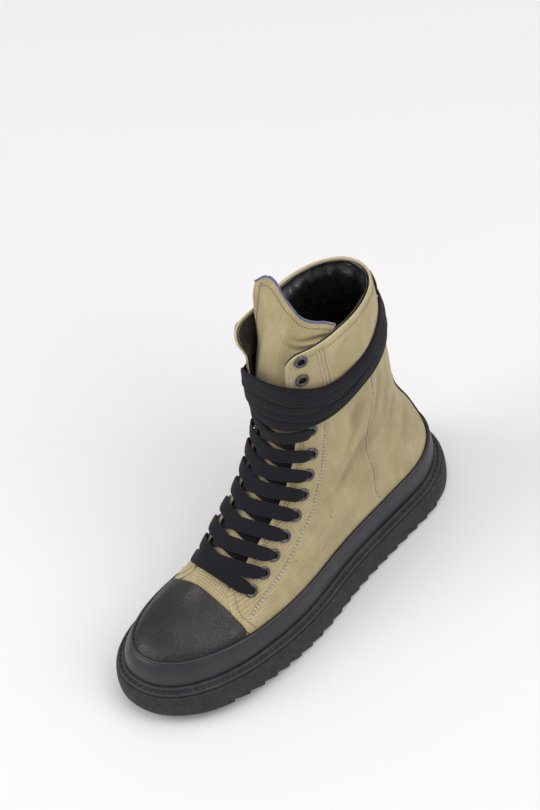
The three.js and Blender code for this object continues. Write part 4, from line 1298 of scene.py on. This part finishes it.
def eyelet_place(i, side, height):
    level = np.array(EYELET_LEVELS[i])
    turn = eyelet_turn(level, side)
    normal = shaft_normal(turn, level)
    return flared(turn, level, 0.0) + normal * height, normal


def eyelets(side, name, word):
    """Rolled rings with their barrels, and a near-black disc of painted shade in each hole."""
    rim, hole = EYELET_DIAMETER / 2, EYELET_HOLE / 2
    a = np.linspace(0, math.pi, 9)
    middle, reach = (rim + hole) / 2, (rim - hole) / 2
    roll = [(middle - reach * math.cos(v), 0.1 + (EYELET_HEIGHT - 0.1) * math.sin(v) ** 0.8) for v in a]
    barrel = [(hole, -2.6), (hole - 0.02, -1.2)]
    underside = [(rim, -0.25), (rim - 0.8, -0.3), (hole + 0.35, -0.3), (hole + 0.35, -2.6)]
    profile = np.array(barrel + roll + underside)
    angles = np.linspace(0, 2 * math.pi, 32, endpoint=False)
    bodies = []
    for i in range(len(EYELET_LEVELS)):
        place, normal = eyelet_place(i, side, EYELET_BASE)
        sideways = unit(np.cross(normal, [0, 0, 1.0]))
        upwards = np.cross(sideways, normal)
        around_hole = np.cos(angles)[:, None] * sideways + np.sin(angles)[:, None] * upwards
        points = place + around_hole[:, None] * profile[None, :, :1] + normal * profile[None, :, 1:]
        body, quads = ring(points)
        bodies.append((body, quads[:, ::-1], np.zeros((len(quads), 4, 2))))
    points, quads, _ = joined(bodies)
    nodes = [f"eyelet_{word}_{i + 1:02d}" for i in range(len(EYELET_LEVELS))]
    piece(name, points, quads, METAL, stands_for=nodes)
    # painted shade: near-black discs sit in the holes where the dark inside would show
    centres = [eyelet_place(i, side, EYELET_BASE - 0.35) for i in range(len(nodes))]
    places, outs = (np.array(values) for values in zip(*centres))
    along = np.tile([0.3, 0.2, 1.0], (len(nodes), 1))
    size = (EYELET_HOLE + 0.3, EYELET_HOLE + 0.3, 0.5)
    stitches(f"eyelet_hole_shade_{word}", places, outs, along, size, SHADE)


# Laces, which are a little thicker along their middle
LACE_CROWN = 0.12


def pull_plane(a, b):
    """The plane in which a lace pulled straight between two places lies."""
    point = last(*a)
    outwards = last_normal(*a) + last_normal(*b)
    normal = unit(np.cross(last(*b) - point, outwards))
    return point, normal if normal[2] > 0 else -normal


def level_on_plane(turn, plane, guess):
    point, normal = plane
    low = guess - 0.12
    high = np.minimum(guess + 0.16, 1)
    return bisect(lambda level: (last(turn, level) - point) @ normal < 0, low, high, 24)


def pulled(a, b, samples):
    """Turns and levels of a lace pulled straight from place a to place b."""
    s = np.linspace(0, 1, samples)
    turn = lerp(a[0], b[0], s)
    return turn, level_on_plane(turn, pull_plane(a, b), lerp(a[1], b[1], s))


def lace_line(turn, level, heights, dives, widths):
    """Centres, outward directions and widths of a lace, with ends that dive into eyelets."""
    centres = skin(turn, level, heights)
    outs = last_normal(turn, level)
    for end, eyelet in dives:
        place, normal = eyelet_place(*eyelet, 0.0)
        inside = [place + normal * h for h in (1.0, -1.6, -4.5)]
        along = centres[end] - centres[1 if end == 0 else -2]
        tilt = unit(normal * 0.5 + unit(along) * 0.9)
        extra = [tilt, tilt, tilt]
        if end == 0:
            centres = np.concatenate([inside[::-1], centres[1:]])
            outs = np.concatenate([extra, outs[1:]])
            widths = np.concatenate([[4.6, 4.6, 4.8], widths[1:]])
        else:
            centres = np.concatenate([centres[:-1], inside])
            outs = np.concatenate([outs[:-1], extra])
            widths = np.concatenate([widths[:-1], [4.8, 4.6, 4.6]])
    rows = through(np.column_stack([centres, outs, widths]), 64)
    return rows[:, :3], unit(rows[:, 3:6]), rows[:, 6]


def narrowed(samples, both=False):
    s = np.linspace(0, 1, samples)
    width = LACE_WIDTH * 1.06 * (1 - 0.36 * smooth((s - 0.9) / 0.1))
    return width * (1 - 0.36 * smooth((0.1 - s) / 0.1)) if both else width


def eyelet_spot(i, side):
    """Turn and level of an eyelet."""
    return float(eyelet_turn(EYELET_LEVELS[i], side)), float(EYELET_LEVELS[i])


def front_bar():
    """The lowest lace, straight across between the first two eyelets."""
    samples = 17
    turn, level = pulled(eyelet_spot(0, -1), eyelet_spot(0, 1), samples)
    s = np.linspace(0, 1, samples)
    ends = smooth((s - 0.93) / 0.07) + smooth((0.07 - s) / 0.07)
    heights = LACE_BASE - 1.2 * np.sin(s * math.pi) ** 2 - 0.6 * ends
    dives = [(0, (0, -1)), (-1, (0, 1))]
    centres, outs, widths = lace_line(turn, level, heights, dives, narrowed(samples, True))
    return strip(centres, outs, widths, LACE_THICKNESS, ribs=LACE_CROWN)


# Height of a crossing lace along its way, and what is added where it lies over its twin
CROSSING_AT = [-0.14, 0.0, 0.14, 0.3, 0.45, 0.6, 0.78, 0.93, 1.0]
CROSSING_HEIGHTS = np.array([-3.6, -2.9, -1.4, 0, 0.9, 2.0, 3.0, 2.85, 2.2])
CROSSING_OVER = np.array([0, 0, 0.3, 1.5, 1.9, 1.2, 0, 0, 0])


def throat_turn(row, side):
    return side * float(turn_at_width(EYELET_LEVELS[row], THROAT_WIDTH / 2))


def crossing(i, side):
    """A lace from under the throat's far edge, over or under its twin, into its eyelet."""
    samples = 33
    edge_turn = throat_turn(i - 1, -side)
    plane = pull_plane(eyelet_spot(i - 1, -1), eyelet_spot(i - 1, 1))
    straight = level_on_plane(np.array(edge_turn), plane, EYELET_LEVELS[i - 1])
    start_level = float(straight + level_step(edge_turn, straight, LACE_WIDTH * 0.4))
    turn, level = pulled((edge_turn, start_level), eyelet_spot(i, side), samples)
    over = CROSSING_HEIGHTS + CROSSING_OVER * (side > 0)
    heights = np.interp(np.linspace(0, 1, samples), CROSSING_AT, over)
    tucked_level = lerp(start_level, float(level[3]), -1.4)
    turn = np.concatenate([[edge_turn - side * 0.16], turn[::2]])
    level = np.concatenate([[tucked_level], level[::2]])
    heights = np.concatenate([[-3.8], heights[::2]])
    widths = np.concatenate([[LACE_WIDTH], narrowed(samples)[::2]])
    wave = 0.25 * np.sin(np.linspace(0, 5, len(turn)) + i * 1.7 + side)
    heights = heights + wave * (np.linspace(0, 1, len(turn)) > 0.2)
    centres, outs, widths = lace_line(turn, level, heights, [(-1, (i, side))], widths)
    return strip(centres, outs, widths, LACE_THICKNESS, ribs=LACE_CROWN)


def rising_end(side):
    """An end of the lace, which rises from the last crossing under the laps."""
    samples = 17
    row = LACED_ROWS - 1
    start = (throat_turn(row, -side), EYELET_LEVELS[row] + 0.035)
    turn, level = pulled(start, (side * 1.15, 0.845), samples)
    s = np.linspace(0, 1, samples)
    heights = np.interp(s, [0, 0.15, 0.4, 0.6, 0.8, 1], [-2.8, -0.8, 1.2, 1.9, 2.0, 1.6]) - 0.2 * side
    rows = through(np.column_stack([skin(turn, level, heights), last_normal(turn, level)]), 64)
    return strip(rows[:, :3], rows[:, 3:], LACE_WIDTH, LACE_THICKNESS, ribs=LACE_CROWN)


def laces():
    bodies = [front_bar()]
    for i in range(1, LACED_ROWS):
        bodies += [crossing(i, 1), crossing(i, -1)]
    bodies += [rising_end(1), rising_end(-1)]
    points, quads, corners = joined(bodies)
    piece("crossed_laces", points, quads, LACE, corners, ("laces",))


# Lowest and highest level of the laps, and how far each is lifted where they crowd
LAP_ENDS = {"front": (0.832, 0.93), "side": (0.846, 0.878), "back": (0.862, 0.937)}
LAP_LIFTS = (0, 0.9, 0.35, 1.15, 0.6)


def lap_level(turn, share, half_width):
    """Level of the laps' band at a share of its height, from its lowest edge to its highest."""
    ends = []
    dip = LAP_DIP * np.exp(-(((folded(turn) + 0.75) / 0.4) ** 2))
    for k in (0, 1):
        straight = lerp(LAP_ENDS["back"][k], LAP_ENDS["front"][k], (1 + np.cos(turn)) / 2)
        mean = (LAP_ENDS["back"][k] + LAP_ENDS["front"][k]) / 2
        ends.append(straight + (LAP_ENDS["side"][k] - mean) * np.sin(turn) ** 2 - k * dip)
    half = level_step(turn, 0.88, half_width)
    return lerp(ends[0] - half, ends[1] + half, share)


def laps():
    """The laces wound round the ankle, each lap overlapping the one below."""
    turns = around(300)
    bodies = []
    for lap in range(LAP_COUNT):
        low = lap_level(turns, lap / LAP_COUNT, LACE_WIDTH / 2)
        high = lap_level(turns, (lap + 1) / LAP_COUNT, LACE_WIDTH / 2)
        room = np.linalg.norm(skin(turns, high, LAP_BASE) - skin(turns, low, LAP_BASE), axis=1)
        wander = 0.003 * np.sin(turns * 2 + lap * 2.4) + 0.002 * np.sin(turns * 3 + lap)
        width = np.minimum(LACE_WIDTH, np.maximum(room * 1.3, 7.0))
        tall = np.maximum(room * LAP_COUNT, width + 1)
        share = (width / 2 + lap * (tall - width) / (LAP_COUNT - 1)) / tall
        level = lap_level(turns, share, LACE_WIDTH / 2) + wander * (0 < lap < LAP_COUNT - 1)
        behind = smooth((np.abs(folded(turns)) - 1) / 0.8)
        lift = lerp(LAP_BASE, LAP_REST, behind) - 0.2
        lift = lift + LAP_LIFTS[lap] * smooth((LACE_WIDTH - room) / 3)
        lift = lift + 0.15 * np.sin(turns * 5 + lap * 2.3)
        centre = skin(turns, level, lift)
        normal = last_normal(turns, level)
        lean = 0.1 + 0.08 * np.sin(turns * 2 + lap * 1.3) + 0.15 * behind * (lap == LAP_COUNT - 1)
        side = unit(np.cross(normal, np.gradient(centre, axis=0)))
        outs = unit(normal + side * lean[:, None])
        width = width * (1 + 0.03 * np.sin(turns * 7 + lap))
        bodies.append(strip(centre, outs, width, LACE_THICKNESS, closed=True, ribs=0.2, samples=18))
    points, quads, corners = joined(bodies)
    piece("ankle_laps", points, quads, LACE, corners, ("lace_wraps",))


# Stitches, set out by Geometry Nodes
def stitch_tree():
    """Sets a bead on each place, its height outwards and its length along the row."""
    tree = bpy.data.node_groups.new("stitch rows", "GeometryNodeTree")
    tree.interface.new_socket("Places", in_out="INPUT", socket_type="NodeSocketGeometry")
    for name in ("Length", "Width", "Height"):
        tree.interface.new_socket(name, in_out="INPUT", socket_type="NodeSocketFloat")
    tree.interface.new_socket("Thread", in_out="INPUT", socket_type="NodeSocketMaterial")
    tree.interface.new_socket("Stitches", in_out="OUTPUT", socket_type="NodeSocketGeometry")
    new, link = tree.nodes.new, tree.links.new
    given, result = new("NodeGroupInput"), new("NodeGroupOutput")
    bead = new("GeometryNodeMeshUVSphere")
    bead.inputs["Segments"].default_value = 8
    bead.inputs["Rings"].default_value = 5
    bead.inputs["Radius"].default_value = 0.5
    size = new("ShaderNodeCombineXYZ")
    for axis, name in zip("XYZ", ("Length", "Width", "Height")):
        link(given.outputs[name], size.inputs[axis])
    shaped = new("GeometryNodeTransform")
    link(bead.outputs["Mesh"], shaped.inputs["Geometry"])
    link(size.outputs[0], shaped.inputs["Scale"])
    facing = None
    for name, axis, pivot in (("out", "Z", "AUTO"), ("along", "X", "Z")):
        vector = new("GeometryNodeInputNamedAttribute")
        vector.data_type = "FLOAT_VECTOR"
        vector.inputs["Name"].default_value = name
        turned = new("FunctionNodeAlignRotationToVector")
        turned.axis = axis
        turned.pivot_axis = pivot
        link(vector.outputs["Attribute"], turned.inputs["Vector"])
        if facing is not None:
            link(facing, turned.inputs["Rotation"])
        facing = turned.outputs["Rotation"]
    copies = new("GeometryNodeInstanceOnPoints")
    link(given.outputs["Places"], copies.inputs["Points"])
    link(shaped.outputs["Geometry"], copies.inputs["Instance"])
    link(facing, copies.inputs["Rotation"])
    real = new("GeometryNodeRealizeInstances")
    painted = new("GeometryNodeSetMaterial")
    soft = new("GeometryNodeSetShadeSmooth")
    link(copies.outputs["Instances"], real.inputs["Geometry"])
    link(real.outputs["Geometry"], soft.inputs["Geometry"])
    link(soft.outputs["Geometry"], painted.inputs["Geometry"])
    link(given.outputs["Thread"], painted.inputs["Material"])
    link(painted.outputs["Geometry"], result.inputs[0])
    return tree


STITCHES = stitch_tree()


def stitches(name, places, outs, alongs, size, thread):
    """One piece of stitches: places in millimetres, the way out and the way along for each."""
    mesh = new_mesh(name, places)
    write_marks(mesh, {"out": outs, "along": alongs}, "FLOAT_VECTOR", "vector")
    holder = placed(name, mesh)
    modifier = holder.modifiers.new("stitch rows", "NODES")
    modifier.node_group = STITCHES
    values = dict(zip(("Length", "Width", "Height"), (v * MM for v in size)), Thread=thread)
    for item in STITCHES.interface.items_tree:
        if item.item_type == "SOCKET" and item.in_out == "INPUT" and item.name in values:
            modifier[item.identifier] = values[item.name]
    bpy.context.view_layer.update()
    seen = holder.evaluated_get(bpy.context.evaluated_depsgraph_get())
    plain = bpy.data.meshes.new_from_object(seen)
    plain.name = name
    bpy.data.objects.remove(holder)
    finished(name, plain, thread)


def row_on_quarter(row, side, pitch, lift=0.25, offset=0.0):
    """Stitch places along a row of (turn, level) on the canvas."""
    samples = 200
    turns, levels = on_surface(row, samples, side)
    height, _ = quarter_height(turns, levels, side)
    line = skin(turns, levels, height + flare(turns, levels) + lift)
    normal = last_normal(turns, levels)
    if offset:
        along = unit(np.gradient(line, axis=0))
        line = line + np.cross(normal, along) * offset
    share, places = even(line, pitch)
    outs = read_rows(share * (samples - 1), np.arange(samples), normal)
    return places, outs, np.gradient(places, axis=0)


def gather(rows):
    return tuple(np.concatenate([row[k] for row in rows]) for k in range(3))


def slanted(row, angle):
    """Turns each stitch of a row about its outward direction."""
    places, outs, alongs = row
    side = np.cross(outs, unit(alongs))
    return places, outs, unit(alongs) + side * math.tan(math.radians(angle))


def between(row):
    """The needle holes between a row's stitches."""
    return tuple((values[1:] + values[:-1]) / 2 for values in row)


def edge_row(inset, low, high, samples=120):
    """A row beside the throat's edge, from a level to another, inset from the edge."""
    level = np.linspace(low, high, samples)
    turn = turn_at_width(level, THROAT_WIDTH / 2 + inset)
    return list(zip(turn, level))


# Short rows, mirrored too: the foot of the chain row, the flap's corner, the three rows behind it
FOOT_ROW = [(0.87, 0.205), (0.91, 0.195), (0.955, 0.19)]
CORNER_ROW = [(0.63, 0.967), (0.72, 0.98), (0.86, 0.986)]
FLAP_ROWS = [[(1.07, 0.985), (1.075, 0.936), (1.09, 0.885)],
             [(1.13, 0.985), (1.13, 0.936), (1.14, 0.885)],
             [(1.19, 0.985), (1.186, 0.93), (1.20, 0.885)]]
EDGE_INSET = 2.2


def sew():
    """All rows of stitches on the quarters, in four pieces by thread and size."""
    around_back = np.linspace(0.9, 3.05, 50)
    behind_flap = np.linspace(1.2, 3.05, 50)
    front = [(quarter_edge(level) + 0.06, level) for level in np.linspace(0.125, THROAT_LEVEL - 0.01, 30)]
    corner = edge_row(EDGE_INSET, 0.90, 0.95, 6) + CORNER_ROW
    rim = [(turn, 0.986) for turn in around_back]
    cuff = [(turn, float(cuff_level(turn)) - 0.005) for turn in behind_flap]
    chain, cream, tan, pricks = [], [], [], []
    for side in (1, -1):
        for offset in (-0.55, 0.55):
            chain.append(slanted(row_on_quarter(CHAIN_ROW, side, 2.7, 0.4, offset), 24 * side))
        chain.append(row_on_quarter(FOOT_ROW, side, 1.5, 0.4))
        chain.append(slanted(row_on_quarter(SIDE_SEAM, side, 3.0, 0.4), 14 * side))
        pricks.append(between(row_on_quarter(CHAIN_ROW, side, 2.7, 0.35, 0.9)))
        pricks.append(between(row_on_quarter(SIDE_SEAM, side, 3.0, 0.3)))
        for inset in (EDGE_INSET, EDGE_INSET + 1.4):
            tan.append(row_on_quarter(edge_row(inset, THROAT_LEVEL + 0.01, 0.86), side, 2.0, 0.2))
        tan.append(row_on_quarter(front, side, 2.1))
        tan.append(row_on_quarter(rim, side, 2.4))
        for row in (corner, *FLAP_ROWS):
            cream.append(row_on_quarter(row, side, 2.1))
        cream.append(row_on_quarter(cuff, side, 2.4, 0.35))
    for name, rows, size, thread in (("chain_stitches", chain, (2.7, 0.9, 0.75), CREAM),
                                     ("cream_stitches", cream, (2.0, 0.95, 0.7), CREAM),
                                     ("tan_stitches", tan, (1.5, 0.7, 0.5), TAN),
                                     ("needle_pricks", pricks, (0.8, 0.6, 0.3), TAN)):
        places, outs, alongs = gather(rows)
        stitches(name, places, outs, alongs, size, thread)


def tongue_seams(face, normal):
    """A row under the tongue's raw edge and one up its hem on the inner side."""
    rows = []
    for line, out in ((face[-7, 6:-4], normal[-7, 6:-4]), (face[75:-4, 7], normal[75:-4, 7])):
        share, places = even(line, 2.3)
        outs = read_rows(share * (len(line) - 1), np.arange(len(line)), out)
        rows.append((places + outs * 0.25, outs, np.gradient(places, axis=0)))
    places, outs, alongs = gather(rows)
    stitches("tongue_stitches", places, outs, alongs, (1.8, 0.65, 0.5), TAN)


def back_strip():
    """A narrow dark strip up the back seam, and the small tab at the collar."""
    level = np.linspace(0.10, 0.985, 90)
    centres = skin(BACK_SEAM, level, QUARTER_STEP - 0.1 + 0.6 * smooth((level - 0.86) / 0.01))
    points, quads, corners = strip(centres, last_normal(BACK_SEAM, level), 2.6, 0.8, ribs=0.2, samples=12)
    piece("back_strip", points, quads, BLACK, corners)
    level = np.linspace(0.935, 0.985, 24)
    centres = skin(BACK_SEAM, level, QUARTER_STEP + 1.0 + 0.8 * np.sin(np.linspace(0, math.pi, 24)))
    points, quads, corners = strip(centres, last_normal(BACK_SEAM, level), 7.0, 0.9, samples=12)
    piece("back_tab", points, quads, TAB, corners)


# Studio: where the lamps aim, and each lamp's place, size and power
AIM = np.array([0, 0, 0.1])
LAMPS = (("key", (1.35, -1.0, 1.5), 1.3, 22), ("fill", (-0.3, 1.6, 1.7), 1.6, 24),
         ("top", (-0.3, 0.2, 2.4), 1.6, 18))


def studio():
    """A pale floor, soft light all round and three large soft lamps. Sizes here are metres."""
    mesh = bpy.data.meshes.new("floor")
    reach = 6.0
    corners = [(-reach, -reach, 0), (reach, -reach, 0), (reach, reach, 0), (-reach, reach, 0)]
    mesh.from_pydata(corners, [], [(0, 1, 2, 3)])
    floor = placed("floor", mesh)
    mesh.materials.append(floor_finish())
    world = bpy.data.worlds.new("studio air")
    world.use_nodes = True
    air = world.node_tree.nodes["Background"]
    air.inputs["Color"].default_value = (0.93, 0.935, 0.95, 1)
    air.inputs["Strength"].default_value = 0.62
    bpy.context.scene.world = world
    bpy.context.scene.view_settings.view_transform = "Standard"
    for name, place, size, power in LAMPS:
        data = bpy.data.lights.new(name, "AREA")
        data.shape = "SQUARE"
        data.size = size
        data.energy = power
        back = unit(np.array(place) - AIM)
        right = unit(np.cross([0, 0, 1.0], back))
        placed(name, data).matrix_world = standing(right, np.cross(back, right), back, place)


look()
studio()
outsole()
slots, slot_outs = welt()
stitches("welt_stitches", slots, slot_outs, np.gradient(slots, axis=0), (3.5, 1.0, 0.9), BLACK)
foxing()
vamp()
quarter(1, "quarter_outer_side")
quarter(-1, "quarter_inner_side")
lining()
insole()
toe_cap()
tongue_face, tongue_normal = tongue()
tongue_seams(tongue_face, tongue_normal)
eyelets(1, "eyelets_outer_side", "outer")
eyelets(-1, "eyelets_inner_side", "inner")
laces()
laps()
sew()
back_strip()
